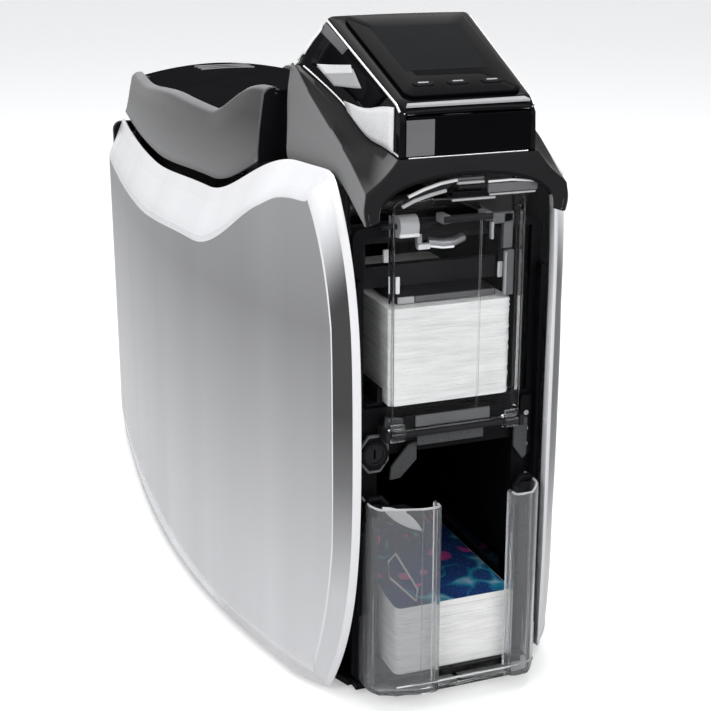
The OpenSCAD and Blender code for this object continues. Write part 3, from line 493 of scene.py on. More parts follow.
def tube(name, points, radius, look, slot, sides=8, closed=False, body="chassis"):
    """Round bar along a line of points."""
    path = [Vector(p) for p in points]
    rows = []
    count = len(path)
    for i, here in enumerate(path):
        before = path[i - 1] if i or closed else here
        after = path[(i + 1) % count] if i < count - 1 or closed else here
        along = (after - before).normalized()
        side = along.cross(Vector((0, 0, 1)))
        if side.length < 0.1:
            side = along.cross(Vector((0, 1, 0)))
        side.normalize()
        up = side.cross(along)
        rows.append([tuple(here + side * math.cos(a) * radius + up * math.sin(a) * radius)
                     for a in (2 * math.pi * k / sides for k in range(sides))])
    if closed:
        rows.append(rows[0])
    return loft(name, rows, look, slot, closed=True, caps=not closed, smooth=50.0, body=body)


# Side panels


def side_half(y):
    """Half width of the side panels' face at one station."""
    t = min(max((y - CREASE_Y) / (REAR_Y - CREASE_Y), 0.0), 1.0)
    bulge = BODY_W / 2 - FRONT_HALF - 0.42 * (REAR_HALF - FRONT_HALF)
    return FRONT_HALF + (REAR_HALF - FRONT_HALF) * t + bulge * math.sin(math.pi * t ** 0.8)


def wave(y):
    """Height of the panels' wavy top edge."""
    return (VALLEY_Z - 5 * ease(FRONT_Y + 120, FRONT_Y + 220, y)
            + (PEAK_Z + 1 - VALLEY_Z) * (1 - ease(FRONT_Y + 38, FRONT_Y + 122, y)))


def rim_top(y):
    """Upper rim: the bowed front runs into the wavy top edge with a rounded corner."""
    curve = BOW_Z + 140.0 * (max(y - RIM_FRONT, 0.0) / 36.0) ** 0.3
    top = wave(y)
    low = min(curve, top)
    return low - 2.5 * math.log(math.exp(-(curve - low) / 2.5) + math.exp(-(top - low) / 2.5))


def rim_low(y):
    """Lower rim from the bow's tip to the foot."""
    return max(BOW_Z - BOW_Z * (max(y - RIM_FRONT, 0.0) / 17.0) ** 0.3, 2.5)


def even_steps(points, count):
    """The same line of (y, z) points, stepped evenly along its length."""
    lengths = [0.0]
    for (a, b), (c, d) in zip(points, points[1:]):
        lengths.append(lengths[-1] + math.hypot(c - a, d - b))
    out, j = [], 0
    for k in range(count + 1):
        want = lengths[-1] * k / count
        while j < len(points) - 2 and lengths[j + 1] < want:
            j += 1
        span = lengths[j + 1] - lengths[j] or 1.0
        t = (want - lengths[j]) / span
        out.append((mix(points[j][0], points[j + 1][0], t), mix(points[j][1], points[j + 1][1], t)))
    return out


def rim_and_crease(upper, count):
    """The panel's rim from the bow's tip to the rear, and the crease that runs beside it."""
    end = PANEL_REAR - RIM_FRONT
    raw = []
    for k in range(601):
        y = RIM_FRONT + end * (k / 600) ** 4
        raw.append((y, rim_top(y) if upper else rim_low(y)))
    rim = even_steps(raw, count)
    crease = []
    for k, (y, z) in enumerate(rim):
        before, after = rim[max(k - 2, 0)], rim[min(k + 2, count)]
        ty, tz = after[0] - before[0], after[1] - before[1]
        size = math.hypot(ty, tz) or 1.0
        ty, tz = ty / size, tz / size
        if k == 0:
            ty, tz = 0.0, 1.0 if upper else -1.0
        if upper:
            width = (8.7 + 1.8 * ease(RIM_FRONT + 2, RIM_FRONT + 25, y) + 4 * ease(RIM_FRONT + 30, RIM_FRONT + 60, y)
                     + 7 * ease(FRONT_Y + 45, FRONT_Y + 120, y))
            ny, nz = tz, -ty
        else:
            width = 8.7 - 2.5 * ease(RIM_FRONT, RIM_FRONT + 30, y) + 7 * ease(FRONT_Y + 80, FRONT_Y + 230, y)
            ny, nz = -tz, ty
        crease.append((min(y + width * ny, PANEL_REAR), z + width * nz))
    return rim, crease


def rim_inset(y, upper):
    """How far the rim lies inside the widest section: the lower rim pulls in less behind the front."""
    return RIM_INSET if upper else mix(RIM_INSET, 1.2, ease(RIM_FRONT + 2, RIM_FRONT + 40, y))


BAND_SHARES = (0.0, 0.13, 0.3, 0.4, 0.7, 0.96)
# Material numbers across the band from the lip: 2 is the painted highlight on the lip, the rim edge and the crease,
# 1 the band with its painted reflections.
BAND_LOOKS = (2, 2, 2, 1, 1, 1, 2)
FACE_POINTS = 15


def rim_half(y, upper):
    """Half width at the rim, which widens faster than the face just behind the front."""
    return side_half(y + 9.7 * (1 - ease(RIM_FRONT, RIM_FRONT + 60, y))) - rim_inset(y, upper)


def side_panel(side, node):
    """Bowed silver panel: a bevelled band all round its front, top and foot, with painted highlights and painted
    reflections, and a plain face with painted shading by height.
    """
    count = 150
    top_rim, top_crease = rim_and_crease(True, count)
    low_rim, low_crease = rim_and_crease(False, count)
    rows = []
    for k in range(count + 1):
        (ry, rz), (cy, cz) = top_rim[k], top_crease[k]
        (by, bz), (dy, dz) = low_rim[k], low_crease[k]
        if k == 0:
            rz, cz, bz, dz = rz + 0.01, cz + 0.01, bz - 0.01, dz - 0.01
        wr, wb = rim_half(ry, True), rim_half(by, False)
        low_side, top_side = (side_half(dy), dy, dz), (side_half(cy), cy, cz)
        rim_b, rim_t = (wb, by, bz), (wr, ry, rz)
        lip_b = (wb - 0.9, by + 2.4 if by < FRONT_Y + 30 else by, bz + 0.6)
        lip_t = (wr - 0.9, ry + 2.4 if ry < FRONT_Y + 30 else ry, rz - 0.6)
        row = [lip_b]
        row += [band_point(rim_b, low_side, t, by) for t in BAND_SHARES]
        for i in range(FACE_POINTS):
            t = 0.012 + 0.976 * i / (FACE_POINTS - 1)
            y = mix(dy, cy, t)
            row.append((side_half(y), y, mix(dz, cz, t)))
        row += [band_point(rim_t, top_side, t, ry) for t in reversed(BAND_SHARES)]
        row.append(lip_t)
        rows.append([(side * x, y, z) for x, y, z in row])

    def pick(j, i):
        place = min(i, len(rows[0]) - 2 - i)
        return BAND_LOOKS[place] if place < len(BAND_LOOKS) else 0

    # The three materials carry painted shading, painted reflections and painted highlights.
    piece = loft(node + "_skin", rows, ["panel", "band", "bright"], "panel_silver", smooth=50.0, pick=pick)
    merge_row(piece, len(rows[0]))
    solidify(piece, PANEL_SKIN)
    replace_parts(piece, node)


def merge_row(piece, width):
    """Join the upper and lower points of the band in the first row, so it runs on without a seam."""
    mesh = bmesh.new()
    mesh.from_mesh(piece.data)
    mesh.verts.ensure_lookup_table()
    band = len(BAND_LOOKS)
    ends = [mesh.verts[i] for i in range(width) if i < band or i >= width - band]
    bmesh.ops.remove_doubles(mesh, verts=ends, dist=0.00003)
    mesh.to_mesh(piece.data)
    mesh.free()
    shade(piece, 50.0)


def band_point(rim, crease, t, y):
    """Point on the band between the rim at t 0 and the crease at t 1, with a fold beside the rim in front."""
    x, py, z = (mix(a, b, t) for a, b in zip(rim, crease))
    front = 1 - ease(RIM_FRONT + 6, RIM_FRONT + 30, y)
    bulge = 0.9 * wave_share(t / 0.34) if t < 0.34 else 0.5 * wave_share((t - 0.34) / 0.66)
    return (x, py - bulge * front, z)


# Rear lid, hood and head

LID_FRONT = -102.9
LID_REAR = 185.5
HEAD_FRONT = -186.0
HEAD_TOP_FRONT = 254.0
HEAD_SLOPE = math.radians(21.5)
HEAD_RUN = (BODY_H - HEAD_TOP_FRONT) / math.tan(HEAD_SLOPE)
HEAD_REAR = HEAD_FRONT + HEAD_RUN
HEAD_END = HEAD_REAR + 6.0
HEAD_HALF = 28.5
HOOD_FRONT = -186.5
HOOD_REAR = -117.5
HOOD_HALF = 43.0
TIP_Z = 209.0
ARCH_Z = 228.0
WINDOW_Z = 234.0


def lid_ridge(y):
    """Height of the rail along the lid's edge."""
    return (VALLEY_Z + 33 + 17 * (1 - ease(LID_FRONT + 5, LID_FRONT + 62, y))
            - 8 * ease(LID_FRONT + 110, LID_FRONT + 230, y))


def lid_crown(y):
    """Height of the lid's middle line."""
    return (lid_ridge(y) + 2 + 4 * ease(LID_FRONT, LID_FRONT + 50, y)
            - 3 * ease(LID_FRONT + 120, LID_FRONT + 240, y))


def lid_half(y):
    """Half section of the lid from its lower edge over the rail and the sunk top panel to the middle."""
    w = side_half(y) - 11.0
    low = rim_top(y) + 4.0
    fall = max(0.0, (y - LID_REAR + 20) / 20) ** 1.6
    ridge = max(low + 3.5, lid_ridge(y) - (lid_ridge(y) - low - 6) * fall)
    crown = max(ridge + 0.5, lid_crown(y) - (lid_crown(y) - low - 7) * fall)
    wall = ridge - low
    points = [(w, low), (w - 0.15, low + 0.15 * wall), (w - 0.9, low + 0.4 * wall), (w - 2.0, low + 0.66 * wall),
              (w - 3.2, ridge - 2.6), (w - 4.4, ridge - 1.2), (w - 6.0, ridge - 0.3), (w - 8.0, ridge - 0.1),
              (w - 9.6, ridge - 0.5), (w - 10.2, ridge - 1.9), (w - 11.0, ridge - 2.0)]
    inner = w - 11.0
    for k in range(1, 10):
        t = k / 9
        points.append((inner * (1 - t), mix(ridge - 2.0, crown, 1 - (1 - t) ** 1.9)))
    return points


def add_lid():
    """Rear lid with its sunk gloss top, front wall, hinge arms and grip ribs."""
    rows = sections(lid_half, LID_FRONT + 0.1, LID_REAR, 72)

    def pick(j, i):
        return 1 if 9 <= i < len(rows[0]) - 10 else 0

    rows.insert(0, [(x * 0.985, y, mix(z, VALLEY_Z + 20, 0.02)) for x, y, z in rows[0]])
    lid = loft("lid_skin", rows, ["lid", "lid_top"], "lid_grey", smooth=50.0, pick=pick, body="lid")
    solidify(lid, SHELL_SKIN)
    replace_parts(lid, "ribbon_lid")
    front = mirrored(lid_half(LID_FRONT + 0.6), 0.0)
    outline_prism("lid_front_wall", [(x * 0.985, z - 0.4) for x, _, z in front], "y", LID_FRONT + 0.2,
                  LID_FRONT + 2.2, "case", "lid_grey", 0.0, body="lid")
    arm = ring(175.5, 204, 4.4, 4.4, range(-150, 91, 20)) + [(161.0, 226.0), (150.5, 226.4), (150.5, 213.0)]
    for side, label in SIDES:
        near, far = sorted((side * 40.2, side * 44.8))
        outline_prism("lid_arm_" + label, arm, "x", near, far, "case", "lid_grey", body="lid")
    for k in range(3):
        y = LID_REAR - 46 + 7 * k
        z = lid_half(y)[-1][1]
        rounded_box("lid_grip_rib_%d" % k, (-16, y - 1.2, z - 1.6), (16, y + 1.2, z + 0.25), "lid", "lid_grey", 0.5,
                    body="lid")


def head_share(y):
    """Place along the head, 0 at its front and 1 at its rear."""
    return min(max((y - HEAD_FRONT) / HEAD_RUN, 0.0), 1.0)


def head_line(y):
    """Height of the head's foot line without its dip."""
    return WINDOW_Z + (BODY_H - 20 - WINDOW_Z) * head_share(y) ** 1.35


def hood_w(y):
    """Half width of the hood at its foot."""
    return HOOD_HALF + 8 * ease(HOOD_FRONT, HOOD_REAR, y)


def head_w(y):
    """Half width of the head at its foot."""
    return HEAD_HALF + 15 * head_share(y) ** 2


def hood_low(y):
    """Height of the hood's lower edge."""
    return TIP_Z + (PEAK_Z - 3 - TIP_Z) * ease(HOOD_FRONT - 3, HOOD_FRONT + 28, y)


def foot_z(y):
    """Height of the head's foot line on the hood, with its soft dip half way."""
    return head_line(y) - 3.6 * math.exp(-((y + 158) / 12.5) ** 2)


CREASE = [(-187.0, 42.7, 221.2), (-180.0, 42.6, 225.2), (-175.0, 42.6, 228.4), (-170.0, 42.7, 231.7),
          (-162.0, 43.0, 236.1), (-155.0, 43.1, 239.3), (-147.5, 43.3, 242.7), (-140.0, 43.6, 246.4),
          (-131.0, 44.4, 251.6), (-125.0, 45.0, 255.4), (-118.0, 45.6, 260.2), (-112.0, 45.8, 263.2)]


def hood_crease(y):
    """Where the hood's flat side turns into the shelf round the head."""
    for (y0, x0, z0), (y1, x1, z1) in zip(CREASE, CREASE[1:]):
        if y <= y1:
            t = max(0.0, (y - y0) / (y1 - y0))
            return mix(x0, x1, t), mix(z0, z1, t)
    return CREASE[-1][1:]


def hood_side_points(y):
    """Hood section: rounded lower edge, flat side up to the crease, then the shelf to the head's foot."""
    behind = max(0.0, y - HOOD_REAR)
    low = hood_low(y) + 1.6 * max(0.0, y - HOOD_REAR + 2)
    hw = hood_w(y) - 0.45 * behind
    cx, cz = hood_crease(y)
    sw, top = head_w(y) + 1.0, foot_z(y) + 0.4
    cz = max(cz, low + 4.0)
    cz = min(cz, BODY_H - 18.5)
    points = [(hw - 0.5, low), (hw, low + 0.9)]
    for k in range(1, 6):
        t = k / 6
        points.append((mix(hw, cx, t) + 0.9 * wave_share(t), mix(low + 0.9, cz - 1.0, t)))
    points += [(cx + 0.15, cz - 0.6), (cx - 0.5, cz)]
    inner = min(sw, cx - 2.0)
    for k in range(1, 4):
        t = k / 4
        points.append((mix(cx - 0.5, inner, t), mix(cz, top, t) - 0.9 * wave_share(t)))
    points += [(inner, top), (inner - 5, top - 0.1), (inner * 0.5, top), (0, top)]
    return points


def add_hood():
    """Grey hood that carries the head: skin, arched front lip and two ribs behind it."""
    rows = sections(hood_side_points, HOOD_FRONT + 0.05, HEAD_END - 1, 44)
    hood = loft("hood_skin", rows, "hood", "hood_grey", smooth=42.0)
    solidify(hood, SHELL_SKIN)
    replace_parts(hood, "head_hood")
    arch = [((HOOD_HALF - 6) * math.cos(a), TIP_Z + 2 + (ARCH_Z - TIP_Z - 2) * math.sin(a) ** 0.7)
            for a in (math.pi * k / 28 for k in range(29))]
    upper = [(HOOD_HALF - 0.6, TIP_Z + 0.2)]
    upper += [(x - 0.3, z - 0.2) for x, z in hood_side_points(HOOD_FRONT + 0.2)[2:12]]
    upper += [(HEAD_HALF + 1, WINDOW_Z + 0.3)]
    outline = upper + [(-x, z) for x, z in reversed(upper)] + arch[::-1]
    lip = outline_prism("hood_front_lip", outline, "y", HOOD_FRONT, HOOD_FRONT + 3.2, "hood", "hood_grey", 0.0, 30.0)
    bevel(lip, 0.7, 3, 35.0)
    edge = [(x, HOOD_FRONT + 0.7, z - 0.2) for x, z in arch[2:-2]]
    tube("hood_arch_bead", edge, 0.8, "case", "hood_grey")
    rib = [(-152.5, 197), (-122.5, 197), (-122.5, head_line(-122.5) - 2.4), (-152.5, head_line(-152.5) - 5.3)]
    for side, label in SIDES:
        near, far = sorted((side * 36.0, side * 37.5))
        outline_prism("hood_rib_" + label, rib, "x", near, far, "hood", "hood_grey", 0.3)


def on_head(x, run, up):
    """Point over the head's sloping top, measured back from its front edge along the slope."""
    return (x, HEAD_FRONT + run * math.cos(HEAD_SLOPE) - up * math.sin(HEAD_SLOPE),
            HEAD_TOP_FRONT + run * math.sin(HEAD_SLOPE) + up * math.cos(HEAD_SLOPE))


def head_top(y):
    """Height of the head's top face, which drops away at its rear."""
    high = min(HEAD_TOP_FRONT + (y - HEAD_FRONT) * math.tan(HEAD_SLOPE), BODY_H)
    return high - 17 * max(0.0, (y - HEAD_REAR + 1) / 8) ** 1.4


def head_top_w(y):
    """Half width of the head's top face."""
    return HEAD_HALF - 0.5 + 4 * head_share(y)


def head_limits(y):
    """Foot half width, foot height, top half width and top height of the head at one station."""
    front = ease(HEAD_FRONT - 1, HEAD_FRONT + 5, y)
    bottom = foot_z(y) + 0.3
    top = max(head_top(y) - 3 * (1 - front), bottom + 3)
    return head_w(y), bottom, head_top_w(y), top


# The side facet from foot to top: (share of the height, share of the way from the foot's to the top's half width)
FACET = [(0.0, 0.0), (0.1, 0.05), (0.3, 0.15), (0.56, 0.45), (0.8, 0.8), (1.0, 1.0)]


def head_half_section(y):
    """Half section of the head: side facet, rounded edge and slightly crowned top."""
    bw, bottom, tw, top = head_limits(y)
    points = [(mix(bw, tw, share), mix(bottom, top, t)) for t, share in FACET[:-1]]
    return points + [(tw + 0.06, top - 1.6), (tw - 0.35, top - 0.6), (tw - 1.2, top), (tw - 2.5, top + 0.3),
                     (tw * 0.6, top + 0.48), (tw * 0.3, top + 0.57), (0, top + 0.6)]


def head_side_point(side, y, t, lift):
    """Point on the head's side facet: t is 0 at its foot and 1 at its top edge."""
    bw, bottom, tw, top = head_limits(y)
    for (t0, s0), (t1, s1) in zip(FACET, FACET[1:]):
        if t <= t1:
            break
    x = mix(bw, tw, mix(s0, s1, (t - t0) / (t1 - t0)))
    return (side * (x + lift), y, mix(bottom, top - 1.0, t))


def head_patch(name, side, corners, look, lift):
    """Thin plate on the head's side; corners are (station, height share) in order."""
    a, b, c, d = corners
    rows = []
    for j in range(7):
        row = []
        for i in range(9):
            y, t = (mix(mix(a[n], b[n], i / 8), mix(d[n], c[n], i / 8), j / 6) for n in (0, 1))
            row.append(head_side_point(side, y, t, lift))
        rows.append(row)
    solidify(loft(name, rows, look, "head_gloss", smooth=60.0), 0.5, 1.0)


# Windows, painted reflections and painted glints on the head's side facets, as (distance from the front, share of
# the height)
SIDE_DETAILS = [
    ("large_window", [(6.2, 0.04), (41.5, 0.02), (44.5, 0.12), (6.2, 0.9)], "pearl", 0.2),
    ("dark_pane", [(26.0, 0.4), (66.0, 0.22), (66.0, 0.9), (12.0, 0.97)], "glass", 0.1),
    # Pale streak and its edge: a painted reflection on the gloss shell.
    ("light_streak_reflection", [(51.0, 0.2), (33.5, 0.64), (41.5, 0.76), (62.5, 0.26)], "pale", 0.25),
    ("light_streak_reflection_edge", [(57.5, 0.25), (41.0, 0.7), (43.5, 0.78), (62.5, 0.3)], "pearl", 0.45),
    # Painted glints on the gloss shell.
    ("upper_glint", [(51.0, 0.78), (68.5, 0.76), (69.5, 0.95), (48.0, 0.96)], "grey", 0.3),
    ("rear_glint", [(70.0, 0.28), (76.0, 0.2), (71.0, 0.93), (69.4, 0.8)], "pearl", 0.35),
]


def add_head():
    """Tilted gloss head: shell, front window with a reflector, bright edge lines and side details."""
    rows = sections(head_half_section, HEAD_FRONT + 0.05, HEAD_END, 46)
    shell = loft("head_skin", rows, "gloss", "head_gloss", smooth=30.0)
    solidify(shell, 2.0)
    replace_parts(shell, "head_shell")
    outline_prism("head_front_window", rounded_outline(-26.6, 26.6, WINDOW_Z + 0.8, HEAD_TOP_FRONT - 3.6, 2.4), "y",
                  HEAD_FRONT, HEAD_FRONT + 2.2, "glass", "head_gloss", 0.5, 30.0)
    rounded_box("head_front_reflector", (-26.2, HEAD_FRONT - 0.15, WINDOW_Z + 1.4), (-14.5, HEAD_FRONT + 0.4, 249.2),
                "grey", "head_gloss", 0.25)
    top_line = [(x, HEAD_FRONT + 0.9, HEAD_TOP_FRONT - 2.6 + 0.5 * (1 - (x / 27.0) ** 2))
                for x in (-27.0 + 6.75 * k for k in range(9))]
    tube("head_front_edge", top_line, 0.55, "trim", "head_gloss", 10)
    foot_line = [(x, HEAD_FRONT + 0.6, WINDOW_Z + 0.7) for x in (-25.0, -10.0, 8.0, 25.5)]
    tube("head_foot_edge", foot_line, 0.4, "trim", "head_gloss")
    for side, label in SIDES:
        stations = [mix(HEAD_FRONT + 2.0, HEAD_REAR - 1.5, k / 24) for k in range(25)]
        for edge, share, lift, radius in (("ridge", 0.985, 0.05, 0.5), ("foot", 0.05, 0.0, 0.4)):
            tube("head_%s_%s" % (label, edge), [head_side_point(side, y, share, lift) for y in stations], radius,
                 "trim", "head_gloss")
        for detail, corners, look, lift in SIDE_DETAILS:
            places = [(HEAD_FRONT + run, share) for run, share in corners]
            head_patch("head_%s_%s" % (label, detail), side, places, look, lift)


def head_block(name, layers, look, slot="head_gloss", body="chassis"):
    """Closed piece over the head's top; layers are (outline across it, height above it) from below."""
    rows = [[on_head(x, run, up) for x, run in outline] for outline, up in layers]
    return loft(name, rows, look, slot, closed=True, caps=True, body=body)


def add_screen():
    """Dark glass over the tilted top, a slightly lighter screen area and a short dash on each button."""
    run_end = HEAD_RUN / math.cos(HEAD_SLOPE) - 4
    half0, half1 = HEAD_HALF - 4, HEAD_HALF - 2
    outer = [(x * mix(1.0, half1 / half0, (run - 5) / (run_end - 5)), run)
             for x, run in rounded_outline(-half0, half0, 5, run_end, 4, 6)]
    inner = [(x * 0.975, 5 + (run - 5) * 0.985 + 0.45) for x, run in outer]
    middle = [(x * 0.5, 38 + (run - 38) * 0.5) for x, run in inner]
    cover = head_block("screen_cover", [(outer, 0.9), (outer, 1.8), (inner, 2.1), (middle, 2.1)], "glass", "screen")
    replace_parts(cover, "display_glass")
    area = [(-17.8, 24.0), (17.8, 24.0), (18.8, 61.5), (-18.8, 61.5)]
    head_block("screen_area", [(area, 1.9), (area, 2.16)], "screen", "screen")
    half = HEAD_HALF - 2.5
    strip = [(-half, 0.9), (half, 0.9), (half - 1.5, 3.4), (1 - half, 2.6)]
    head_block("head_front_strip", [(strip, -0.6), (strip, 0.35)], "pale")
    for k, name in enumerate(("left_button", "middle_button", "right_button")):
        x0 = (k - 1) * 14.5
        top = rounded_outline(x0 - 4.5, x0 + 4.5, 11.8, 15.2, 1.69)
        small = rounded_outline(x0 - 4.2, x0 + 4.2, 12.1, 14.9, 1.39)
        cap = head_block(name + "_cap", [(top, -4.6), (top, 2.35), (small, 2.7)], "gloss", body=name)
        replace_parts(cap, name)
        dash = rounded_outline(x0 - 2.3, x0 + 2.3, 13.1, 13.9, 0.39, 4)
        head_block(name + "_dash", [(dash, 2.66), (dash, 2.82)], "pale", body=name)


# Cards


def card_pile(name, y, z, count, wander, seed):
    """Separate cards with rounded corners, each a little out of line with the next."""
    dice = random.Random(seed)
    base = rounded_outline(-CARD_W / 2, CARD_W / 2, 0.0, CARD_L, CARD_ROUND, 4)
    verts, faces = [], []
    width = len(base)
    for k in range(count):
        dx = dice.uniform(-wander, wander)
        dy = abs(dice.uniform(0.0, wander * 1.6))
        low = z + k * CARD_T + 0.03
        for pull, rise in ((0.12, 0.0), (0.0, 0.14), (0.0, CARD_T - 0.2), (0.14, CARD_T - 0.05)):
            for bx, by in base:
                sx = (abs(bx) - pull) * (1 if bx > 0 else -1)
                sy = by + pull if by < CARD_L / 2 else by - pull
                verts.append((min(max(sx + dx, -CARD_W / 2 - 0.3), CARD_W / 2 + 0.3), y + sy + dy, low + rise))
        for first in range(4 * k * width, (4 * k + 3) * width, width):
            for i in range(width):
                n = (i + 1) % width
                faces.append((first + i, first + n, first + width + n, first + width + i))
        faces.append(tuple(4 * k * width + i for i in reversed(range(width))))
        faces.append(tuple((4 * k + 3) * width + i for i in range(width)))
    return add_mesh(name, verts, faces, "card", "card_white", 25.0)


def add_cards():
    """Both card stacks, and the printed card on top of the output stack."""
    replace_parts(card_pile("input_cards", STACK_Y, INPUT_Z, INPUT_COUNT, 0.22, 7), "input_card_stack")
    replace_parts(card_pile("output_cards", OUT_Y, OUTPUT_Z, OUTPUT_COUNT, 0.3, 21), "output_card_stack")
    low = OUTPUT_Z + OUTPUT_COUNT * CARD_T + 0.02
    top = low + CARD_T
    edge = CARD_W / 2
    shape = rounded_outline(-edge, edge, OUT_Y, OUT_Y + CARD_L, CARD_ROUND, 6)
    inner = rounded_outline(0.25 - edge, edge - 0.25, OUT_Y + 0.25, OUT_Y + CARD_L - 0.25, 3.0, 6)
    for name, look, slot, layers in (
            ("top_card", "card", "card_white", [(shape, low), (shape, top - 0.12), (inner, top - 0.02)]),
            ("top_card_print", "print", "card_print", [(inner, top - 0.03), (inner, top)])):
        rows = [[(x, y, z) for x, y in outline] for outline, z in layers]
        piece = loft(name, rows, look, slot, closed=True, caps=True)
        if name == "top_card":
            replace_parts(piece, "printed_card")


# Clear fins, door and tray

FIN_LOW = 7.0
FIN_HIGH = 92.0


def fin_path(inner, inset):
    """Line of the fin seen from above, from the finger gap round its bowed front to the side."""
    path = [(inner, OUT_Y - 2.1), (inner, -187.5), (inner + 0.4, -189.9), (inner + 1.8, -191.1),
            (inner + 4.2, -191.45), (inner + 9.0, -191.2), (mix(inner + 9.0, 36.0, 0.45), -189.0), (36.0, -185.6),
            (37.9, -182.6), (38.8, -179.6), (39.0, -176.5), (39.0, BEZEL_Y)]
    out = []
    for i, (x, y) in enumerate(path):
        before, after = path[max(i - 1, 0)], path[min(i + 1, len(path) - 1)]
        tx, ty = after[0] - before[0], after[1] - before[1]
        size = math.hypot(tx, ty) or 1.0
        out.append((x - ty / size * inset, y + tx / size * inset))
    return out


def add_fin(side, node, inner_edge):
    """Open clear guard: thin wall with a rounded rim, bright edges, a base plate and a dark hook behind."""
    outer, inner = fin_path(inner_edge, 0.0), fin_path(inner_edge, 2.0)
    centre = [((x + x2) / 2, (y + y2) / 2) for (x, y), (x2, y2) in zip(outer, inner)]
    loop = list(zip(outer, centre)) + list(zip(inner, centre))[::-1]
    rows = [[(side * mix(x, cx, pull), mix(y, cy, pull), z) for (x, y), (cx, cy) in loop]
            for z, pull in ((FIN_LOW, 0.0), (FIN_LOW + 30, 0.0), (FIN_HIGH - 1.2, 0.0), (FIN_HIGH - 0.45, 0.16),
                            (FIN_HIGH - 0.05, 0.6))]
    wall = loft(node + "_wall", rows, "fin", "clear", closed=True, caps=True, smooth=50.0)
    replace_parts(wall, node)
    base = [(0.4, -188.0), (inner_edge - 2, -190.4), (inner_edge + 9, -190.6), (35.0, -185.8), (38.0, -181.0),
            (38.4, -176.0), (38.4, BEZEL_Y), (0.4, BEZEL_Y)]
    outline_prism(node + "_base", [(side * x, y) for x, y in base], "z", FIN_LOW, FIN_LOW + 2.0, "clear", "clear")
    tube(node + "_rim", [(side * x, y, FIN_HIGH - 0.45) for x, y in centre[1:]], 0.5, "pearl", "clear")
    for k, radius in ((2, 0.5), (5, 0.35), (8, 0.4)):
        x, y = centre[k]
        tube("%s_edge_%d" % (node, k), [(side * x, y, FIN_LOW + 1.5), (side * x, y, FIN_HIGH - 0.6)], radius,
             "trim_clear", "clear")
    hook = [(38.6, -176.5, 84.0), (38.6, -176.0, 90.0), (36.5, -176.0, 92.8), (32.0, -176.4, 92.9),
            (29.6, -177.2, 90.0)]
    tube(node + "_hook", [(side * x, y, z) for x, y, z in hook], 1.5, "case", "case_black", 12)
    side_box(node + "_clip", side, (30.0, 38.0), (-175.6, -173.0), (78.0, 90.0), "dark", "case_black", 0.8)


def add_tray_lip():
    """Clear front lip under the printed cards, seen between the fins."""
    path = [(-38.0, -181.4), (-36.2, -185.4), (-29.5, -189.4), (-12.0, -190.4), (0.0, -190.5), (22.0, -190.4),
            (33.0, -187.6), (37.6, -182.0)]
    tube("tray_lip_bead", [(x, y, 8.4) for x, y in path], 1.0, "trim_clear", "clear", 12)
    tube("tray_lip_glint", [(x, y - 0.05, 11.4) for x, y in path[2:7]], 0.35, "pearl", "clear")
    rounded_box("tray_lip_plate", (-11.0, -190.9, 8.4), (23.0, -189.7, 12.0), "clear", "clear", 0.5)


def add_door():
    """Clear hopper door: curved side flanges, a vertical seam and the dark handle bar."""
    z0, z1 = 122.0, 217.0
    shape = rounded_outline(-28.6, 28.6, z0, z1, 3.0, 6)
    inner = rounded_outline(-28.1, 28.1, z0 + 0.5, z1 - 0.5, 2.6, 6)
    rows = [[(x, y, z) for x, z in outline]
            for y, outline in ((-177.7, inner), (-178.1, shape), (-179.1, shape), (-179.5, inner))]
    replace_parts(loft("door_sheet", rows, "door", "clear", closed=True, caps=True, body="door"), "hopper_door")
    for side, label in SIDES:
        side_box("door_%s_flange" % label, side, (27.1, 28.6), (-177.6, -174.6), (z0 + 4, z1 - 6), "door", "clear",
                 0.4, "door")
        tube("door_%s_knuckle" % label, [(side * x, -177.5, BOW_Z) for x in (22.6, 28.6)], 2.9, "clear", "clear", 24,
             body="door")
        side_box("door_%s_foot" % label, side, (22.6, 28.6), (-179.4, -177.6), (120.2, 125.0), "clear", "clear", 0.4,
                 "door")
    rounded_box("door_seam", (8.6, -180.0, z0 + 6), (9.5, -179.4, z1 - 4), "trim_clear", "clear", 0.2, body="door")
    edge = [(x, -179.45, z) for x, z in rounded_outline(-28.2, 28.2, z0 + 0.4, z1 - 0.4, 2.7)]
    tube("door_edge_bead", edge, 0.35, "trim_clear", "clear", closed=True, body="door")
    bar = [(x, -186.1 + 0.0004 * x * x, 210.0) for x in (-10.4, -6.0, 0.0, 6.0, 10.4)]
    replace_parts(tube("door_grip", bar, 1.45, "dark", "bracket", 16, body="door"), "door_handle")
    for side, label in SIDES:
        side_box("door_%s_grip_leg" % label, side, (7.4, 10.8), (-186.6, -179.4), (208.2, 211.8), "grey", "bracket",
                 0.7, "door")


# CAD nodes that stay, with their materials and edge rounding

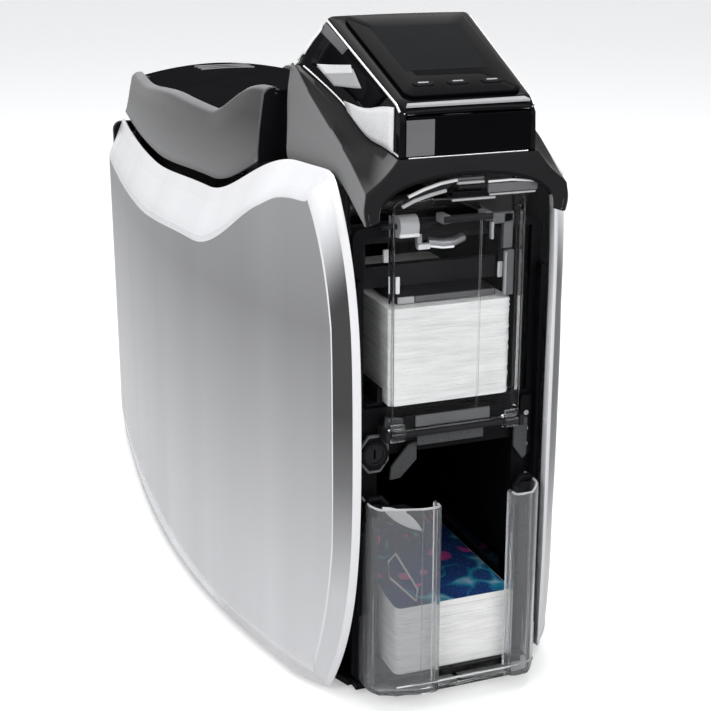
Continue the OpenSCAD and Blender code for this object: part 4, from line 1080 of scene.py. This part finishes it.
NODE_LOOKS = {
    "base_tray": ("case", 0.6), "rear_panel": ("case", 0.5), "front_bezel": ("case", 0.5),
    "left_frame_plate": ("case", 0.2), "right_frame_plate": ("case", 0.2), "frame_crossbars": ("bracket", 0.0),
    "input_hopper_tray": ("dark", 0.4), "output_tray": ("smoke", 0.4), "lcd_panel": ("screen", 0.3),
    "lock_surround": ("case", 0.4), "status_strip": ("gloss", 0.3), "status_lamps": ("lamp", 0.0),
    "main_board": ("board", 0.1), "power_inlet": ("socket", 0.4), "usb_port": ("steel", 0.2),
    "network_port": ("steel", 0.2), "transport_motor": ("steel", 0.4), "motor_bracket": ("bracket", 0.2),
    "cooling_fan": ("socket", 0.4), "rubber_feet": ("rubber", 0.5), "chassis_screws": ("steel", 0.1),
    "bearing_bushes": ("bronze", 0.15), "ribbon_cartridge": ("cartridge", 0.5), "exit_chute": ("case", 0.3),
    "hopper_guides": ("dark", 0.5), "lid_hinge_pin": ("steel", 0.2), "printhead_bracket": ("bracket", 0.3),
    "printhead": ("ceramic", 0.3), "door_hinge_pin": ("dark", 0.2), "power_button": ("button", 0.4),
    "lock_barrel": ("dark", 0.2), "pressure_plate": ("dark", 0.5), "pick_roller": ("roller", 0.15),
    "front_idler": ("gear", 0.1), "feed_roller": ("roller", 0.15), "rear_idler": ("gear", 0.1),
    "platen_roller": ("roller", 0.15), "exit_roller": ("roller", 0.15), "motor_pinion": ("gear", 0.05),
    "supply_spool": ("ribbon", 0.3), "takeup_spool": ("ribbon", 0.3), "fan_rotor": ("socket", 0.2),
}


def dress_nodes():
    """Gives every CAD node that stays its procedural finish and softened edges."""
    for node, (look, width) in NODE_LOOKS.items():
        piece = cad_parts[node]
        if not piece.material_slots:
            piece.data.materials.append(M[look])
        for slot in piece.material_slots:
            slot.material = M[look]
        if width:
            bevel(piece, width, 2, 38.0)


# Small fittings in and round the hopper

# (name, box as x, x, y, y, z, z, look, edge rounding)
FITTINGS = [
    ("latch_middle_0", (-3.2, 8.0, -184.4, -182.0, 221.3, 222.4), "dark", 0.3),
    ("latch_middle_1", (-3.5, 8.0, -184.0, -182.0, 222.8, 223.9), "pale", 0.3),
    ("latch_middle_2", (-3.8, 8.0, -183.6, -182.0, 224.3, 225.4), "grey", 0.3),
    ("latch_catch", (-5.2, 13.4, -183.0, -180.4, 217.6, 219.8), "gloss", 0.3),
    ("latch_catch_edge", (-5.4, 13.2, -183.4, -182.2, 216.2, 217.1), "pale", 0.2),
    ("latch_right", (9.8, 31.5, -183.8, -181.8, 218.4, 222.4), "grey", 0.6),
    ("roller_clip_post", (-11.6, -9.6, -164.0, -161.5, 193.8, 203.3), "pale", 0.3),
    ("roller_clip_foot", (-11.6, -6.4, -165.0, -162.5, 193.3, 195.6), "pearl", 0.3),
    ("roller_clip_top", (-11.2, -5.8, -164.0, -162.0, 200.8, 203.0), "grey", 0.3),
    ("guide_pin_left", (-22.9, -21.2, -169.0, -168.0, 177.0, 184.0), "pearl", 0.3),
    ("guide_pin_right", (22.3, 24.4, -169.0, -168.0, 179.8, 186.4), "pearl", 0.3),
    ("guide_stub_left", (-27.3, -25.0, -167.0, -165.4, 189.8, 195.0), "pale", 0.3),
    ("side_rail_right", (24.4, 27.6, -172.6, -170.0, 173.0, 192.0), "grey", 0.3),
    ("side_rail_edge", (23.5, 24.3, -172.8, -171.0, 173.4, 191.4), "pale", 0.2),
    ("side_hook_right", (22.6, 26.8, -172.4, -170.2, 192.8, 207.4), "grey", 0.3),
    ("side_hook_arm", (17.4, 27.2, -172.4, -170.2, 203.2, 207.8), "grey", 0.6),
    ("side_hook_edge", (17.0, 18.2, -172.6, -170.6, 197.0, 204.0), "pale", 0.2),
    ("inner_step_0", (-19.0, 18.0, -136.0, -133.0, 193.6, 194.6), "dark", 0.2),
    ("inner_step_1", (-17.0, 18.0, -132.0, -129.0, 197.0, 198.0), "dark", 0.2),
    ("inner_step_2", (-15.0, 18.0, -128.0, -125.0, 200.4, 201.4), "dark", 0.2),
]

# (name, outline across x and z, front and rear, look)
PLATES = [
    ("tongue_plate", [(-15.8, 113.6), (14.3, 113.6), (14.3, 121.5), (-15.8, 121.5)], (-176.2, -175.2), "smoke_grey"),
    ("bracket_upper_left", [(-29.6, 120.2), (-26.5, 117.4), (-17.2, 117.2), (-17.2, 124.6), (-28.6, 126.8)],
     (-173.4, -171.6), "smoke_grey"),
    ("bracket_lower_left", [(-26.6, 98.8), (-22.0, 99.2), (-14.6, 106.6), (-14.6, 114.8), (-18.5, 113.4),
                            (-26.0, 104.4)], (-173.4, -171.6), "smoke_grey"),
    ("bracket_right", [(30.2, 118.4), (36.6, 118.4), (36.6, 101.4), (34.6, 99.6), (30.2, 106.0)], (-173.0, -171.4),
     "smoke_grey"),
]

LATCH_LOWER = [(-26.5, -183.4, 215.6), (-21.5, -183.5, 217.8), (-15.0, -183.6, 219.6), (-8.3, -183.6, 220.9)]
LATCH_UPPER = [(-24.0, -183.2, 219.4), (-17.5, -183.3, 221.9), (-10.5, -183.4, 223.8), (-3.6, -183.4, 224.7)]

# (name, points, radius, look, sides)
RAILS = [
    ("latch_left_lower", LATCH_LOWER, 0.75, "pale", 10),
    ("latch_left_upper", LATCH_UPPER, 0.7, "pearl", 10),
    ("latch_right_top", [(9.6, -183.9, 223.2), (20.0, -183.9, 223.3), (30.5, -183.9, 222.2), (34.0, -183.6, 220.4)],
     0.5, "pearl", 10),
    ("latch_right_foot", [(10.2, -183.9, 218.0), (30.2, -183.9, 218.0)], 0.4, "pale", 8),
]


def add_latches():
    """Latch rails under the hood's lip and the dark web between the left two."""
    for name, points, radius, look, sides in RAILS:
        tube(name, points, radius, look, "case_black", sides)
    web = [(x, z) for x, _, z in LATCH_LOWER + LATCH_UPPER[::-1]]
    outline_prism("latch_left_web", web, "y", -183.2, -182.2, "dark", "case_black", 0.0)


def add_hopper_fittings():
    """Clips, guide pins, rails, the spring roller and the spring bar above the cards."""
    for name, (x0, x1, y0, y1, z0, z1), look, radius in FITTINGS:
        rounded_box(name, (x0, y0, z0), (x1, y1, z1), look, "case_black", radius)
    for name, x0, x1, y, z, radius, look, sides in (
            ("press_roller", -23.6, -15.6, -170.6, 205.2, 4.5, "pale", 28),
            ("press_roller_rim", -23.7, -15.5, -174.2, 202.0, 0.8, "pearl", 10),
            ("press_roller_axle", -30.0, -9.0, -170.6, 205.2, 1.2, "dark", 12)):
        tube(name, [(x0, y, z), (x1, y, z)], radius, look, "roller", sides)
    bow = [(-6.0, -162.0, 195.8), (-1.0, -163.2, 195.0), (4.0, -163.2, 195.0), (9.6, -161.4, 196.2)]
    tube("spring_bar", bow, 1.9, "bracket", "bracket", 16)
    tube("spring_bar_edge", [(x, y - 1.6, z - 1.5) for x, y, z in bow[:3]], 0.6, "trim", "bracket", 10)
    rounded_box("plate_front", (-14.2, -168.3, 172.5), (21.3, -167.7, 175.1), "grey", "case_black",
                body="pressure_plate")
    rounded_box("plate_corner", (-21.8, -168.4, 172.4), (-14.6, -167.7, 175.3), "pale", "case_black",
                body="pressure_plate")


def add_lower_fittings():
    """Smoky tongue under the hopper, the brackets beside it and the faceted collar round the lock."""
    for name, outline, (front, rear), look in PLATES:
        outline_prism(name, outline, "y", front, rear, look, "case_black")
    shelf = [(-16.4, 121.8), (17.0, 121.8), (17.0, 126.6), (-16.4, 126.6)]
    outline_prism("tongue_shelf", shelf, "y", -175.8, -174.9, "grey", "case_black", 0.3)
    eighths = [22.5 + 45 * j for j in range(8)]
    hole = ring(-33.2, 111.0, 4.1, 4.1, eighths)
    for k, (radius, look) in enumerate(((8.9, "grey"), (7.6, "case"), (6.2, "dark"))):
        outer = ring(-33.2, 111.0, 0.78 * radius, radius, eighths)
        step = [(mix(x, h, 0.08), mix(z, g, 0.08)) for (x, z), (h, g) in zip(outer, hole)]
        rows = [[(x, y - 0.5 * k, z) for x, z in outline]
                for outline, y in ((outer, -171.0), (outer, -172.2), (step, -172.4), (hole, -172.4), (hole, -171.0))]
        loft("lock_collar_%d" % k, rows, look, "case_black", closed=True, smooth=20.0)


def add_guard_fittings():
    """Dark wedge, a pale blade-shaped painted glint and a moulded frame behind the left output guard."""
    wedge = [(-38.0, 91.6), (-38.0, 88.0), (-30.0, 84.0), (-22.0, 79.4), (-15.0, 78.6), (-14.6, 86.0), (-24.0, 91.4)]
    outline_prism("guard_wedge", wedge, "y", -182.4, -181.4, "case", "case_black", 0.4)
    # Pale tapered streak behind the left guard's wall: a painted glint.
    rows = []
    for k in range(9):
        swell = wave_share(k / 8)
        x, z = mix(-34.0, -16.6, k / 8), mix(92.0, 78.8, k / 8) + 0.6 * swell
        wide = 0.3 + 2.3 * max(swell, 0.0) ** 0.8
        rows.append([(x + 0.6 * wide * math.cos(a), -183.6 - 0.5 * math.sin(a), z + 0.8 * wide * math.cos(a))
                     for a in (math.radians(30 * j) for j in range(12))])
    loft("guard_painted_glint", rows, "pearl", "case_black", closed=True, caps=True, smooth=60.0)
    line = [(-31.2, 67.4), (-28.0, 70.4), (-18.0, 52.4), (-18.6, 47.2), (-30.6, 60.2)]
    tube("guard_frame", [(x, -183.4, z) for x, z in line], 0.45, "pale", "clear", closed=True)


# Floor, backdrop and light


def add_stage():
    """White floor that keeps the object's shadow, and a world that is white to the camera and in reflections."""
    mat, tree, shader = new_material("floor_white")
    fill(tree, shader, {"Base Color": two_tone(tree, noise(tree, 40.0), 0.84, 0.87), "Roughness": 0.6})
    glow = add_node(tree, "Emission", {"Color": WHITE, "Strength": 0.36})
    total = add_node(tree, "AddShader", {0: shader.outputs[0], 1: glow.outputs[0]})
    seen = add_node(tree, "LightPath", {}).outputs["Is Camera Ray"]
    blend = add_node(tree, "MixShader", {0: seen, 1: shader.outputs[0], 2: total.outputs[0]})
    fill(tree, tree.nodes["Material Output"], {"Surface": blend.outputs[0]})
    mesh = bpy.data.meshes.new("floor")
    size = 4.0
    mesh.from_pydata([(-size, -size, 0), (size, -size, 0), (size, size, 0), (-size, size, 0)], [], [(0, 1, 2, 3)])
    floor = bpy.data.objects.new("floor", mesh)
    mesh.materials.append(mat)
    bpy.context.collection.objects.link(floor)
    world = bpy.data.worlds.new("studio")
    bpy.context.scene.world = world
    world.use_nodes = True
    tree = world.node_tree
    background = tree.nodes["Background"]
    fill(tree, background, {"Color": (0.9, 0.92, 0.95, 1), "Strength": 0.45})
    white = add_node(tree, "Background", {"Color": WHITE, "Strength": 1.0})
    path = add_node(tree, "LightPath", {}).outputs
    either = math_node(tree, "MAXIMUM", path["Is Camera Ray"], path["Is Glossy Ray"])
    share = math_node(tree, "MAXIMUM", either, path["Is Transmission Ray"])
    blend = add_node(tree, "MixShader", {0: share, 1: background.outputs[0], 2: white.outputs[0]})
    fill(tree, tree.nodes["World Output"], {"Surface": blend.outputs[0]})


def add_light(name, place, aim, size, power):
    """Rectangular area lamp that points at a place."""
    data = bpy.data.lights.new(name, "AREA")
    data.shape = "RECTANGLE"
    data.size, data.size_y = size
    data.energy = power
    lamp = bpy.data.objects.new(name, data)
    lamp.location = place
    lamp.rotation_euler = (Vector(aim) - Vector(place)).to_track_quat("-Z", "Y").to_euler()
    bpy.context.collection.objects.link(lamp)


def add_lights():
    """Three soft lamps: left, front and top."""
    add_light("left_softbox", (-1.4, -0.9, 1.1), (0, 0, 0.13), (1.2, 1.2), 16.0)
    add_light("front_softbox", (0.5, -1.6, 0.9), (0, -0.1, 0.12), (1.0, 0.8), 9.0)
    add_light("top_softbox", (0.1, 0.2, 1.6), (0, 0, 0.1), (1.4, 1.4), 14.0)


bpy.context.scene.view_settings.view_transform = "Standard"
add_camera()
add_stage()
add_lights()
dress_nodes()
for side, label in SIDES:
    side_panel(side, label + "_side_panel")
add_lid()
add_hood()
add_head()
add_screen()
add_cards()
add_fin(-1, "left_output_fin", 10.0)
add_fin(1, "right_output_fin", 22.0)
add_tray_lip()
add_door()
add_latches()
add_hopper_fittings()
add_lower_fittings()
add_guard_fittings()
